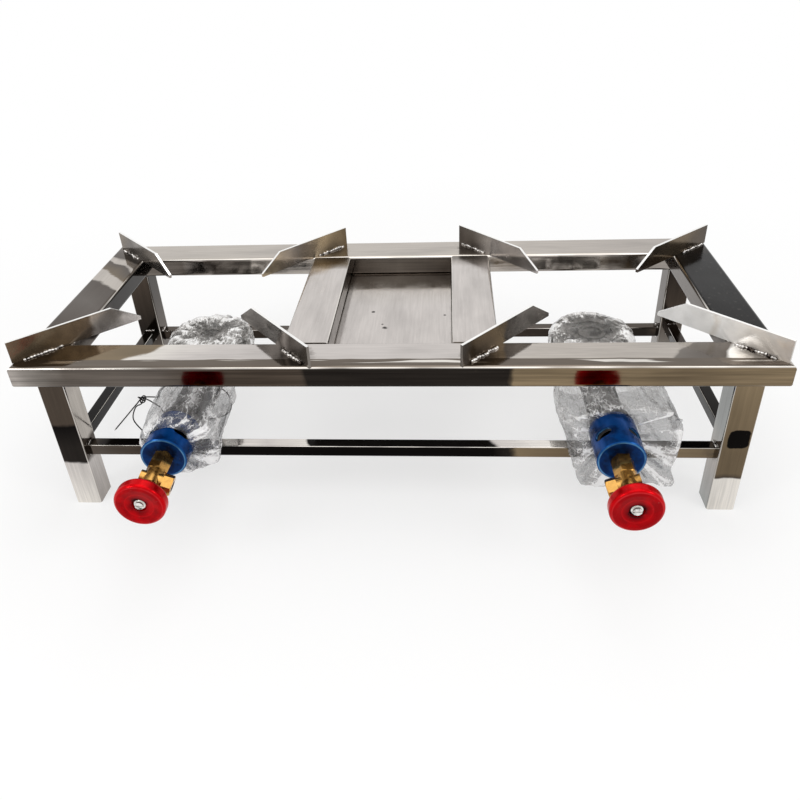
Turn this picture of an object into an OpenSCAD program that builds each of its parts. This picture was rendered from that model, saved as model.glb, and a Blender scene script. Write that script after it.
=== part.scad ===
// Two burner gas stove on a welded stainless tube stand.
// Two cast burners hang in the openings of the frame, and each is fed through a mixing tube,
// a blue air shutter and a brass needle valve with a red handwheel.
// The clear film and the tie wire that it is delivered in are separate pieces and come off.

/* [Top frame] */
// Length of the stove, left to right
frame_length = 800; // [700:5:1100]
// Depth of the stove, front to back
frame_depth = 320; // [300:5:420]
// Height of the flat top of the frame above the floor
frame_height = 196; // [190:1:400]
// Width of the rectangular tube, which lies flat
rail_width = 50; // [40:1:55]
// Height of the rectangular tube
rail_height = 25; // [20:1:30]
// Wall of the rectangular tube
rail_wall = 1.5; // [1:0.1:2]
// Outer edge radius of the rectangular tube
rail_edge = 4; // [2.5:0.1:5]
// Clear width of the middle bay between the two cross rails
bay_width = 132; // [100:1:180]
// Thickness of the sheet that closes the middle bay from below
tray_thickness = 1.2; // [0.8:0.1:3]
// Lap of that sheet under each rail
tray_lap = 20; // [10:1:35]

/* [Legs and lower bars] */
// Side of the square leg tube
leg_size = 30; // [24:1:36]
// Wall of the leg tube
leg_wall = 1.5; // [1:0.1:2.5]
// Outer edge radius of the leg tube
leg_edge = 2.5; // [2:0.1:4]
// Outer side of each leg in from the end of the frame
leg_end_inset = 20; // [10:1:30]
// Front of the front legs behind the front of the frame
front_leg_inset = 9; // [0:1:18]
// Back of the rear legs in front of the back of the frame
rear_leg_inset = 19.5; // [0:0.5:20]
// Side of the square lower bar tube
bar_size = 14; // [10:1:16]
// Wall of the lower bar tube
bar_wall = 1.2; // [0.8:0.1:2]
// Underside of the front and rear bars below the mixing tube axis
bar_drop = 43.5; // [43.5:0.5:70]
// How much higher the left bar was welded than the front bar
left_bar_lift = 5.5; // [0:0.5:15]
// How much higher the right bar was welded than the front bar
right_bar_lift = 10.5; // [0:0.5:15]

/* [Pan supports] */
// Length of the flat bar that each support is cut from
support_length = 138; // [120:1:138]
// How much longer the front supports are at their outer ends
front_support_extra = 4.5; // [0:0.5:4.5]
// Height of a support above the frame
support_height = 25; // [15:1:40]
// Thickness of a support
support_thickness = 3; // [2:0.5:6]
// Height of the blunt nose at the inner end
support_nose = 4; // [2:0.5:10]
// Run of the sloping cut at the inner end
support_slope = 30; // [15:1:50]
// Gap between the facing tips of a burner, left to right
support_gap_x = 120; // [115:1:140]
// Gap between the facing tips of a burner, front to back
support_gap_y = 108; // [104:1:130]
// Leg of the weld fillets along the supports
weld_size = 3; // [2:0.5:5]
// Length of the weld along the outer end of a support
weld_run = 40; // [20:1:60]

/* [Burners] */
// Height of the mixing tube axis above the floor
tube_height = 110; // [110:1:120]
// How far outside the middle of its opening each burner sits
burner_offset = 2; // [0:0.5:6]
// Radius of the burner head
head_radius = 47; // [42:1:52]
// Top of the burner head above the mixing tube axis
head_rise = 34; // [30:1:38]
// Thickness of the perforated burner top
top_thickness = 8; // [6:0.5:10]
// Casting wall of the burner head
head_wall = 4; // [3:0.5:5]
// Radius of the gas ports in the burner top
port_radius = 1.5; // [0.8:0.1:2]
// Outer radius of the mixing tube
tube_radius = 17; // [15:0.5:18]
// Wall of the mixing tube
tube_wall = 3; // [2:0.5:4]
// Thickness of the strip that carries the burner
strip_thickness = 3; // [2:0.5:4]
// Width of the strip that carries the burner
strip_width = 25; // [20:1:40]

/* [Air shutters] */
// Outer radius of the air shutter
shutter_radius = 24.5; // [24:0.5:26]
// Wall of the air shutter
shutter_wall = 3; // [2:0.1:3.5]
// Front of the air shutter ahead of the frame
shutter_reach = 40; // [30:1:60]
// Length of the air shutter
shutter_length = 50; // [44:1:55]
// Length of an air slot around the shutter
slot_length = 20; // [14:1:22]
// Width of an air slot along the shutter
slot_width = 12; // [8:0.5:12]
// Middle of the air slots behind the front of the shutter
slot_setback = 22; // [18:1:28]

/* [Valves] */
// Radius of the valve outlet that carries the shutter
outlet_radius = 8; // [7:0.5:9]
// Width across the flats of the valve body
valve_flats = 20; // [19:0.5:24]
// Length of the six sided part of the valve body
valve_hex_length = 24; // [18:1:30]
// Length of the round middle of the valve body
valve_core_length = 20; // [20:1:28]
// Width across the flats of the bonnet nut
bonnet_flats = 17; // [15:0.5:20]
// Length of the bonnet nut
bonnet_length = 9; // [6:0.5:14]
// Radius of the valve spindle
spindle_radius = 3.5; // [3:0.1:4]
// Turn of the inlet below the horizontal, in degrees
inlet_tilt = 22; // [0:1:40]
// End of the inlet from the valve axis
inlet_reach = 21; // [20:1:40]
// Radius of the threaded inlet hole, a quarter inch pipe thread
inlet_radius = 5.7; // [4:0.1:6]
// Outer radius of the handwheel
wheel_radius = 25.5; // [22:0.5:30]
// Thickness of the handwheel rim
wheel_thickness = 14; // [10:0.5:18]

/* [Delivery film] */
// Thickness of the film as it is modelled
film_thickness = 0.6; // [0.4:0.1:1]
// Width of the left film
left_film_width = 92; // [76:1:110]
// Width of the right film
right_film_width = 118; // [90:1:130]
// Drop of the mouth of the left film below its neck
left_film_drop = 15; // [4:1:20]
// Drop of the mouth of the right film below its neck
right_film_drop = 45; // [10:1:50]
// Mouth of the left film ahead of the front of the frame
left_film_reach = 24; // [8:1:28]
// Mouth of the right film behind the front of the frame
right_film_setback = 3; // [1:1:6]
// Thickness of the tie wire
wire_thickness = 1.2; // [0.8:0.1:2]

/* [Hidden] */
$fn = 48;

// Clearances: fixed parts that slip together, a turning spindle, the loose shutter, and soft film
slip_gap = 0.05;
spindle_gap = 0.05;
shutter_gap = 0.3;
film_gap = 0.4;
overrun = 1;

// Places along the depth, counted from the front of the frame
wheel_stand = 4.7;
wheel_front = -(shutter_reach + shutter_gap + valve_hex_length + valve_core_length
    + bonnet_length + wheel_stand + wheel_thickness);
front_y = -(frame_depth + wheel_front) / 2;
burner_y = frame_depth / 2;
front_leg_y = front_leg_inset;
rear_leg_y = frame_depth - rear_leg_inset - leg_size;

// Places along the length and heights
opening_x = (bay_width / 2 + frame_length / 2) / 2;
burner_x = opening_x + burner_offset;
leg_x = frame_length / 2 - leg_end_inset - leg_size / 2;
rail_z = frame_height - rail_height;
bar_height = tube_height - bar_drop;
bar_top = bar_height + bar_size;
strip_top = bar_top + strip_thickness;
head_top = tube_height + head_rise;
bowl_top = head_top - top_thickness;
bar_edge = 1.5;

// Colours
steel = [0.78, 0.77, 0.75];
cast = [0.33, 0.32, 0.31];
brass = [0.80, 0.62, 0.28];
blue = [0.03, 0.20, 0.48];
red = [0.80, 0.03, 0.05];
film = [0.88, 0.90, 0.92, 0.45];

// The frame's front face lies at zero inside this block
module from_front() translate([0, front_y, 0]) children();

// A burner line seen from its own axis: side is -1 or 1, and inwards is always +X
module at_burner(side)
    translate([side * burner_x, front_y, tube_height])
        mirror([side > 0 ? 1 : 0, 0, 0]) children();

// Turns a shape that was drawn upwards so that it runs to the back
module along_depth(y) translate([0, y, 0]) rotate([-90, 0, 0]) children();

module rounded_outline(w, h, r) {
    square([w - 2 * r, h], center = true);
    square([w, h - 2 * r], center = true);
    for (x = [-1, 1], y = [-1, 1])
        translate([x * (w / 2 - r), y * (h / 2 - r)]) circle(r = r, $fn = 32);
}

module tube_outline(w, h, r, wall)
    difference() {
        rounded_outline(w, h, r);
        rounded_outline(w - 2 * wall, h - 2 * wall, max(r - wall, bar_wall / 4));
    }

// A tube along X, Y or Z, centred on its own axis
module tube_x(length, w, h, r, wall)
    rotate([90, 0, 90]) linear_extrude(length, center = true) tube_outline(w, h, r, wall);
module tube_y(length, w, h, r, wall)
    rotate([90, 0, 0]) linear_extrude(length, center = true) tube_outline(w, h, r, wall);

/* Top frame: four mitred rails and two cross rails between the front and the back one */
module long_rail(y_out, y_in)
    color(steel) from_front() intersection() {
        translate([0, (y_out + y_in) / 2, frame_height - rail_height / 2])
            tube_x(frame_length, rail_width, rail_height, rail_edge, rail_wall);
        translate([0, 0, rail_z - overrun]) linear_extrude(rail_height + 2 * overrun)
            polygon([[-frame_length / 2, y_out], [frame_length / 2, y_out],
                [frame_length / 2 - rail_width, y_in], [-frame_length / 2 + rail_width, y_in]]);
    }
module front_rail() long_rail(0, rail_width);
module back_rail() long_rail(frame_depth, frame_depth - rail_width);

module end_rail(side)
    color(steel) from_front() intersection() {
        translate([side * (frame_length - rail_width) / 2, frame_depth / 2,
                frame_height - rail_height / 2])
            tube_y(frame_depth, rail_width, rail_height, rail_edge, rail_wall);
        translate([0, 0, rail_z - overrun]) linear_extrude(rail_height + 2 * overrun)
            polygon([[side * frame_length / 2, 0], [side * frame_length / 2, frame_depth],
                [side * (frame_length / 2 - rail_width), frame_depth - rail_width],
                [side * (frame_length / 2 - rail_width), rail_width]]);
    }
module left_rail() end_rail(-1);
module right_rail() end_rail(1);

module cross_rail(side)
    color(steel) from_front()
        translate([side * (bay_width + rail_width) / 2, frame_depth / 2,
                frame_height - rail_height / 2])
            tube_y(frame_depth - 2 * rail_width, rail_width, rail_height, rail_edge, rail_wall);
module left_cross_rail() cross_rail(-1);
module right_cross_rail() cross_rail(1);

module centre_tray()
    color(steel) from_front()
        translate([-bay_width / 2 - tray_lap, rail_width - tray_lap, rail_z - tray_thickness])
            cube([bay_width + 2 * tray_lap, frame_depth - 2 * rail_width + 2 * tray_lap,
                tray_thickness]);

/* Legs and the ring of lower bars */
module leg(side, y)
    color(steel) from_front() translate([side * leg_x, y + leg_size / 2, 0])
        linear_extrude(rail_z) tube_outline(leg_size, leg_size, leg_edge, leg_wall);
module front_left_leg() leg(-1, front_leg_y);
module front_right_leg() leg(1, front_leg_y);
module rear_left_leg() leg(-1, rear_leg_y);
module rear_right_leg() leg(1, rear_leg_y);

module long_bar(y)
    color(steel) from_front() translate([0, y + leg_size / 2, bar_height + bar_size / 2])
        tube_x(2 * leg_x - leg_size, bar_size, bar_size, bar_edge, bar_wall);
module front_bar() long_bar(front_leg_y);
module rear_bar() long_bar(rear_leg_y);

module end_bar(side, lift)
    color(steel) from_front()
        translate([side * leg_x, (front_leg_y + leg_size + rear_leg_y) / 2,
                bar_height + lift + bar_size / 2])
            tube_y(rear_leg_y - front_leg_y - leg_size, bar_size, bar_size, bar_edge, bar_wall);
module left_bar() end_bar(-1, left_bar_lift);
module right_bar() end_bar(1, right_bar_lift);

// A fillet of triangular section in the corner of two faces, drawn along +X from its start
module fillet_bead(length)
    rotate([90, 0, 90]) linear_extrude(length)
        polygon([[0, 0], [weld_size, 0], [0, weld_size]]);

// The fillets above and below the end of a bar that meets a face looking along +X
module bar_end_beads()
    for (under = [0, 1])
        mirror([0, 0, under]) translate([0, bar_size / 2 - bar_edge, bar_size / 2])
            rotate([0, 0, -90]) fillet_bead(bar_size - 2 * bar_edge);

module bar_welds()
    color(cast) from_front() {
        for (side = [-1, 1], y = [front_leg_y, rear_leg_y])
            translate([side * (leg_x - leg_size / 2), y + leg_size / 2,
                    bar_height + bar_size / 2])
                mirror([side > 0 ? 1 : 0, 0, 0]) bar_end_beads();
        for (end = [[-1, left_bar_lift], [1, right_bar_lift]], back = [0, 1])
            translate([end[0] * leg_x, back == 1 ? rear_leg_y : front_leg_y + leg_size,
                    bar_height + end[1] + bar_size / 2])
                rotate([0, 0, back == 1 ? -90 : 90]) bar_end_beads();
    }

/* Pan supports: flat bars on edge across the corners of each opening.
   They were set by eye, so each has its own angle from the length of the stove. */
left_front_outer_angle = 42;
left_front_inner_angle = 48;
left_back_outer_angle = 44;
left_back_inner_angle = 46;
right_front_outer_angle = 44;
right_front_inner_angle = 47;
right_back_outer_angle = 40;
right_back_inner_angle = 47;

// The place of one support: its tip at zero, its length along +X and its foot on the frame
module at_support(side, outwards, back, angle)
    from_front()
        translate([side * (opening_x + outwards * support_gap_x / 2),
                burner_y + back * support_gap_y / 2, frame_height])
            rotate([0, 0, atan2(back * sin(angle), side * outwards * cos(angle))]) children();

function support_end(back) = support_length + (back < 0 ? front_support_extra : 0);
module support(side, outwards, back, angle)
    color(steel) at_support(side, outwards, back, angle)
        translate([0, support_thickness / 2, 0]) rotate([90, 0, 0])
            linear_extrude(support_thickness)
                polygon([[0, 0], [support_end(back), 0], [support_end(back), support_height],
                    [support_slope, support_height], [0, support_nose]]);
module left_front_outer_support() support(-1, 1, -1, left_front_outer_angle);
module left_front_inner_support() support(-1, -1, -1, left_front_inner_angle);
module left_back_outer_support() support(-1, 1, 1, left_back_outer_angle);
module left_back_inner_support() support(-1, -1, 1, left_back_inner_angle);
module right_front_outer_support() support(1, 1, -1, right_front_outer_angle);
module right_front_inner_support() support(1, -1, -1, right_front_inner_angle);
module right_back_outer_support() support(1, 1, 1, right_back_outer_angle);
module right_back_inner_support() support(1, -1, 1, right_back_inner_angle);

// Two fillets along the outer end of one support, one on each side of it
module support_beads(side, outwards, back, angle)
    at_support(side, outwards, back, angle)
        for (face = [0, 1])
            mirror([0, face, 0])
                translate([support_length - weld_run - 2 * rail_edge, support_thickness / 2, 0])
                    fillet_bead(weld_run);
module support_welds()
    color(steel) {
        support_beads(-1, 1, -1, left_front_outer_angle);
        support_beads(-1, -1, -1, left_front_inner_angle);
        support_beads(-1, 1, 1, left_back_outer_angle);
        support_beads(-1, -1, 1, left_back_inner_angle);
        support_beads(1, 1, -1, right_front_outer_angle);
        support_beads(1, -1, -1, right_front_inner_angle);
        support_beads(1, 1, 1, right_back_outer_angle);
        support_beads(1, -1, 1, right_back_inner_angle);
    }

/* Burner strips: flat bars from the front bar to the rear bar, each with a bolt hole */
bolt_radius = 4;
bolt_hole_gap = 0.5;
bolt_flats = 13;
bolt_head = 5.3;
bolt_reach = 10.5;
bolt_flange_radius = 8.5;
bolt_flange = 1.6;
strip_front = front_leg_y + (leg_size - bar_size) / 2;
strip_back = rear_leg_y + (leg_size + bar_size) / 2;

module burner_strip(side)
    color(steel) from_front() difference() {
        translate([side * burner_x - strip_width / 2, strip_front, bar_top])
            cube([strip_width, strip_back - strip_front, strip_thickness]);
        translate([side * burner_x, burner_y, bar_top - overrun])
            cylinder(h = strip_thickness + 2 * overrun, r = bolt_radius + bolt_hole_gap);
    }
module left_burner_strip() burner_strip(-1);
module right_burner_strip() burner_strip(1);

// Radius of the circle through the corners of a hexagon of the given width across flats
function hex_radius(flats) = flats / 2 / cos(30);

module burner_bolt(side)
    color(steel) from_front() translate([side * burner_x, burner_y, bar_top - bolt_flange]) {
        translate([0, 0, -bolt_head])
            cylinder(h = bolt_head, r = hex_radius(bolt_flats), $fn = 6);
        cylinder(h = bolt_flange, r = bolt_flange_radius);
        cylinder(h = bolt_flange + strip_thickness + bolt_reach, r = bolt_radius);
    }
module left_burner_bolt() burner_bolt(-1);
module right_burner_bolt() burner_bolt(1);

/* Burner bowl: a cast cup on a bolted foot, with a neck for the mixing tube */
foot_radius = 15;
foot_height = 8;
bowl_floor = 14;
neck_radius = tube_radius + slip_gap + head_wall;
neck_length = head_radius + 15;
neck_seat = 22;
bowl_height = bowl_top - strip_top;
bowl_belly_share = 0.78;
bowl_belly_height_share = 0.42;
bowl_rim_height_share = 0.72;

module burner_bowl(side)
    color(cast) at_burner(side) difference() {
        union() {
            translate([0, burner_y, strip_top - tube_height]) rotate_extrude($fn = 72)
                polygon([[0, 0], [foot_radius, 0], [foot_radius, foot_height],
                    [head_radius * bowl_belly_share, bowl_height * bowl_belly_height_share],
                    [head_radius, bowl_height * bowl_rim_height_share],
                    [head_radius, bowl_height], [0, bowl_height]]);
            along_depth(burner_y - neck_length)
                cylinder(h = neck_length - foot_radius, r = neck_radius);
        }
        translate([0, burner_y, strip_top - tube_height]) rotate_extrude($fn = 72)
            polygon([[0, bowl_floor], [foot_radius, bowl_floor],
                [head_radius * bowl_belly_share - head_wall,
                    bowl_height * bowl_belly_height_share + head_wall / 2],
                [head_radius - head_wall, bowl_height * bowl_rim_height_share],
                [head_radius - head_wall, bowl_height + overrun], [0, bowl_height + overrun]]);
        along_depth(burner_y - neck_length - overrun)
            cylinder(h = neck_seat + overrun, r = tube_radius + slip_gap);
        along_depth(burner_y - neck_length)
            cylinder(h = neck_length - foot_radius - overrun, r = tube_radius - tube_wall);
        translate([0, burner_y, strip_top - tube_height - overrun])
            cylinder(h = bolt_reach + 2 * overrun, r = bolt_radius + slip_gap);
    }
module left_burner_bowl() burner_bowl(-1);
module right_burner_bowl() burner_bowl(1);

/* Burner top: a round plate with raised rings and three rows of gas ports */
ring_height = 2.4;
ring_half_width = 2.2;
ring_shares = [0.30, 0.58, 0.86];
port_shares = [0.44, 0.72, 0.94];
port_counts = [10, 18, 26];
lip_depth = 3;

module burner_top(side)
    color(cast) at_burner(side) translate([0, burner_y, head_rise - top_thickness])
        difference() {
            rotate_extrude($fn = 72) union() {
                square([head_radius, top_thickness - ring_height]);
                translate([0, -lip_depth]) square([head_radius - head_wall - slip_gap, lip_depth]);
                for (s = ring_shares)
                    translate([head_radius * s - ring_half_width, 0])
                        square([2 * ring_half_width, top_thickness]);
            }
            translate([0, 0, -lip_depth - overrun])
                cylinder(h = lip_depth + overrun, r = head_radius - 2 * head_wall);
            for (row = [0:len(port_shares) - 1], k = [0:port_counts[row] - 1])
                rotate([0, 0, 360 * k / port_counts[row]])
                    translate([(head_radius - head_wall) * port_shares[row], 0, -overrun
                            - lip_depth])
                        cylinder(h = top_thickness + lip_depth + 2 * overrun, r = port_radius,
                            $fn = 16);
        }
module left_burner_top() burner_top(-1);
module right_burner_top() burner_top(1);

/* Mixing tube and the mixer head on its front end, whose ports line up with the shutter's */
collar_length = 14;
mixer_back = shutter_length - shutter_reach + collar_length;
mixer_radius = shutter_radius - shutter_wall - shutter_gap;
mixer_wall = 2.5;
mixer_front_wall = 5;
mixer_front = shutter_wall + shutter_gap - shutter_reach;
tube_front = mixer_back - collar_length;

module mixing_tube(side)
    color(cast) at_burner(side) difference() {
        along_depth(tube_front)
            cylinder(h = burner_y - neck_length + neck_seat - tube_front, r = tube_radius);
        along_depth(tube_front - overrun)
            cylinder(h = burner_y, r = tube_radius - tube_wall);
    }
module left_mixing_tube() mixing_tube(-1);
module right_mixing_tube() mixing_tube(1);

// One radial cut with round ends, its long way around the axis, at the given angle from the top
module air_slot(angle, y, reach)
    translate([0, y, 0]) rotate([0, angle, 0]) linear_extrude(reach) {
        square([slot_length - slot_width, slot_width], center = true);
        for (end = [-1, 1])
            translate([end * (slot_length - slot_width) / 2, 0]) circle(r = slot_width / 2);
    }
slot_angles = [45, 135, 225, 315];

module mixer_head(side)
    color(cast) at_burner(side) difference() {
        along_depth(mixer_front)
            cylinder(h = mixer_back - mixer_front, r = mixer_radius);
        along_depth(mixer_front + mixer_front_wall)
            cylinder(h = tube_front - mixer_front - mixer_front_wall,
                r = mixer_radius - mixer_wall);
        along_depth(tube_front - overrun)
            cylinder(h = collar_length + 2 * overrun, r = tube_radius + slip_gap);
        along_depth(mixer_front - overrun)
            cylinder(h = mixer_front_wall + 2 * overrun, r = outlet_radius + slip_gap);
        for (a = slot_angles)
            air_slot(a, slot_setback - shutter_reach, mixer_radius + overrun);
    }
module left_mixer_head() mixer_head(-1);
module right_mixer_head() mixer_head(1);

/* Air shutter: a cup that turns on the mixer head to open or close the air slots */
shutter_front_wall = shutter_wall;
rim_chamfer = 1;
module air_shutter(side)
    color(blue) at_burner(side) difference() {
        along_depth(-shutter_reach) rotate_extrude($fn = 72)
            polygon([[outlet_radius + shutter_gap, 0], [shutter_radius - rim_chamfer, 0],
                [shutter_radius, rim_chamfer], [shutter_radius, shutter_length],
                [shutter_radius - shutter_wall, shutter_length],
                [shutter_radius - shutter_wall, shutter_front_wall],
                [outlet_radius + shutter_gap, shutter_front_wall]]);
        for (a = slot_angles)
            air_slot(a, slot_setback - shutter_reach, shutter_radius + overrun);
    }
module left_air_shutter() air_shutter(-1);
module right_air_shutter() air_shutter(1);

/* Needle valve: outlet, six sided body, round core with the inlet arm, bonnet and spindle */
valve_back = mixer_front + mixer_front_wall;
hex_back = -(shutter_reach + shutter_gap);
hex_front = hex_back - valve_hex_length;
core_front = hex_front - valve_core_length;
core_middle = (hex_front + core_front) / 2;
core_radius = 10;
bonnet_front = core_front - bonnet_length;
gas_bore = 2;
jet_thread = 4;
jet_seat = 7;
arm_radius = 9;
arm_length = 10.5;
stub_length = 12.5;
inlet_seat = 4.5;
chamfer = 1.5;

// A hexagonal bar with its outer corners turned off at the far end
module chamfered_hex(flats, length)
    intersection() {
        cylinder(h = length, r = hex_radius(flats), $fn = 6);
        rotate_extrude() polygon([[0, 0], [hex_radius(flats), 0],
            [hex_radius(flats), length - chamfer], [flats / 2, length], [0, length]]);
    }

// The inlet arm's own place: it leaves the core inwards and a little downwards, along +Z
module along_inlet() translate([0, core_middle, 0]) rotate([0, 90 + inlet_tilt, 0]) children();

module valve_body(side)
    color(brass) at_burner(side) difference() {
        union() {
            along_depth(hex_back) cylinder(h = valve_back - hex_back, r = outlet_radius);
            translate([0, hex_back, 0]) rotate([90, 0, 0])
                chamfered_hex(valve_flats, valve_hex_length);
            along_depth(core_front) cylinder(h = valve_core_length, r = core_radius);
            along_inlet() cylinder(h = arm_length, r = arm_radius);
            along_inlet() mirror([0, 0, 1]) cylinder(h = stub_length, r = arm_radius - chamfer);
        }
        along_depth(core_front - overrun)
            cylinder(h = valve_core_length + overrun, r = spindle_radius + 2 * spindle_gap);
        along_depth(core_front) cylinder(h = valve_back - core_front + overrun, r = gas_bore);
        along_depth(valve_back - jet_seat)
            cylinder(h = jet_seat + overrun, r = jet_thread + slip_gap);
        along_inlet() cylinder(h = arm_length + overrun, r = gas_bore);
        along_inlet() translate([0, 0, arm_length - inlet_seat])
            cylinder(h = inlet_seat + overrun, r = inlet_radius + slip_gap);
    }
module left_valve_body() valve_body(-1);
module right_valve_body() valve_body(1);

/* Gas jet: screwed into the rear end of the valve outlet, with the fine gas hole */
jet_flats = 10;
jet_hex = 5;
jet_cone = 8;
jet_tip = 2.5;
jet_hole = 0.6;
module gas_jet(side)
    color(brass) at_burner(side) difference() {
        union() {
            along_depth(valve_back - jet_seat) cylinder(h = jet_seat + jet_hex, r = jet_thread);
            along_depth(valve_back) cylinder(h = jet_hex, r = hex_radius(jet_flats), $fn = 6);
            along_depth(valve_back + jet_hex)
                cylinder(h = jet_cone, r1 = jet_thread, r2 = jet_tip);
        }
        along_depth(valve_back - jet_seat - overrun)
            cylinder(h = jet_seat + jet_hex, r = gas_bore);
        along_depth(valve_back)
            cylinder(h = jet_hex + jet_cone + overrun, r = jet_hole, $fn = 24);
    }
module left_gas_jet() gas_jet(-1);
module right_gas_jet() gas_jet(1);

/* Inlet adapter: six sided, with the threaded hole that a gas hose union screws into */
adapter_flats = 19;
module inlet_adapter(side)
    color(brass) at_burner(side) along_inlet() difference() {
        union() {
            translate([0, 0, arm_length - inlet_seat]) cylinder(h = inlet_seat, r = inlet_radius);
            translate([0, 0, arm_length])
                chamfered_hex(adapter_flats, inlet_reach - arm_length);
        }
        translate([0, 0, arm_length + tube_wall])
            cylinder(h = inlet_reach - arm_length, r = inlet_radius);
        translate([0, 0, arm_length - inlet_seat - overrun])
            cylinder(h = inlet_reach, r = gas_bore);
    }
module left_inlet_adapter() inlet_adapter(-1);
module right_inlet_adapter() inlet_adapter(1);

module bonnet_nut(side)
    color(brass) at_burner(side) difference() {
        translate([0, core_front, 0]) rotate([90, 0, 0])
            chamfered_hex(bonnet_flats, bonnet_length);
        along_depth(bonnet_front - overrun)
            cylinder(h = bonnet_length + 2 * overrun, r = spindle_radius + spindle_gap);
    }
module left_bonnet_nut() bonnet_nut(-1);
module right_bonnet_nut() bonnet_nut(1);

/* Spindle with its needle, and the handwheel with its screw and washer */
wheel_back = bonnet_front - wheel_stand;
hub_radius = 9;
hub_gap = 0.7;
recess_radius = 7.5;
recess_depth = 4;
dish_depth = 1.6;
rim_round = 4;
screw_radius = 2;
screw_depth = 9;
screw_head_radius = 4.4;
screw_head = 2.6;
screw_slot = 1.1;
screw_flange_radius = 5.6;
screw_flange = 1;
stem_radius = 2.4;
stem_start = 4;
stem_end = 6;
needle_length = 8;
needle_tip = 0.8;
hub_front = wheel_front + recess_depth;
spindle_front = hub_front + screw_flange;

module spindle(side)
    color(brass) at_burner(side) difference() {
        union() {
            along_depth(spindle_front)
                cylinder(h = core_front + stem_start - spindle_front, r = spindle_radius);
            along_depth(spindle_front)
                cylinder(h = hex_front - stem_end - spindle_front, r = stem_radius);
            along_depth(hex_front - stem_end)
                cylinder(h = needle_length, r1 = stem_radius, r2 = needle_tip);
        }
        along_depth(spindle_front - overrun)
            cylinder(h = screw_depth + overrun, r = screw_radius + spindle_gap);
    }
module left_spindle() spindle(-1);
module right_spindle() spindle(1);

// The wheel's half section, drawn from its front: radius across, depth upwards
module wheel_section()
    difference() {
        union() {
            translate([rim_round, 0]) square([wheel_radius - 2 * rim_round, wheel_thickness]);
            translate([0, rim_round])
                square([wheel_radius, wheel_thickness - 2 * rim_round]);
            for (d = [rim_round, wheel_thickness - rim_round])
                translate([wheel_radius - rim_round, d]) circle(r = rim_round, $fn = 32);
            square([hub_radius, wheel_thickness + wheel_stand - hub_gap]);
        }
        translate([0, -overrun]) square([recess_radius, recess_depth + overrun]);
        polygon([[0, -overrun], [wheel_radius - 1.5 * rim_round + dish_depth, -overrun],
            [wheel_radius - 1.5 * rim_round, 0], [recess_radius + dish_depth, dish_depth],
            [0, dish_depth]]);
        translate([-overrun, -overrun])
            square([spindle_radius + spindle_gap + overrun,
                wheel_thickness + wheel_stand + 2 * overrun]);
        translate([hub_radius + dish_depth, wheel_thickness - rim_round])
            square([wheel_radius - hub_radius - 2 * rim_round, rim_round + overrun]);
    }
module handwheel(side)
    color(red) at_burner(side) along_depth(wheel_front) rotate_extrude($fn = 96)
        wheel_section();
module left_handwheel() handwheel(-1);
module right_handwheel() handwheel(1);

module wheel_screw(side)
    color(steel) at_burner(side) difference() {
        union() {
            along_depth(hub_front - screw_flange)
                cylinder(h = screw_flange, r = screw_flange_radius);
            along_depth(hub_front - screw_flange - screw_head)
                cylinder(h = screw_head + screw_flange, r = screw_head_radius);
            along_depth(hub_front - screw_flange)
                cylinder(h = screw_flange + screw_depth, r = screw_radius);
        }
        translate([-screw_head_radius - overrun,
                hub_front - screw_flange - screw_head - overrun, -screw_slot / 2])
            cube([2 * screw_head_radius + 2 * overrun, overrun + screw_head / 2, screw_slot]);
    }
module left_wheel_screw() wheel_screw(-1);
module right_wheel_screw() wheel_screw(1);

/* Delivery film over a burner head: a loose cap with a notch for the neck */
head_film_drop = 26;
module head_film(side)
    color(film) at_burner(side) difference() {
        translate([0, burner_y, head_rise - head_film_drop]) rotate_extrude($fn = 72)
            difference() {
                square([head_radius + film_gap + film_thickness,
                    head_film_drop + film_gap + film_thickness]);
                translate([0, -overrun])
                    square([head_radius + film_gap, head_film_drop + film_gap + overrun]);
            }
        along_depth(burner_y - neck_length)
            cylinder(h = neck_length, r = neck_radius + film_gap);
    }
module left_head_film() head_film(-1);
module right_head_film() head_film(1);

/* Delivery film along a mixing tube: a flattened sleeve, lofted through stations.
   Its mouth hangs down in front of the front bar, and the sleeve behind it lies above the bar.
   A station is [how far along, share of the half width, share of the drop, share of the shift],
   where 0 is the mouth, 1 is just in front of the front bar and 2 is the far end. */
film_stations_shares = [[0, 0.90, 1, 1], [0.35, 0.94, 0.93, 0.9], [0.7, 0.96, 0.62, 0.7],
    [1, 0.98, 0, 0.6], [1.3, 1, 0, 0.5], [1.65, 0.97, 0, 0.4], [2, 0.80, 0, 0.2]];
film_sides = 28;
film_squareness = 2.6;
left_film_shift = 10;
right_film_shift = 14;
bar_clearance = 3;
film_neck_up = shutter_radius + film_gap + film_thickness + film_gap;
film_neck_down = mixer_radius + film_thickness + 2 * film_gap;
film_lip_y = strip_front - bar_clearance;
film_end_y = burner_y - head_radius - film_thickness - film_gap - 2 * overrun;

function film_y(t, mouth) = t < 1 ? mouth + t * (film_lip_y - mouth)
    : film_lip_y + (t - 1) * (film_end_y - film_lip_y);

// A point of a flattened ring: half width w, height up and depth down from the tube axis
function flat_ring(w, up, down, a) = [
    w * sign(cos(a)) * pow(abs(cos(a)), 2 / film_squareness),
    (sin(a) > 0 ? up : down) * sign(sin(a)) * pow(abs(sin(a)), 2 / film_squareness)];

function film_point(s, half, drop, shift, mouth, inset, a) =
    let (p = flat_ring(half * s[1] - inset, film_neck_up - inset,
            film_neck_down + drop * s[2] - inset, a))
    [p[0] + shift * s[3], film_y(s[0], mouth), p[1]];

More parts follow.
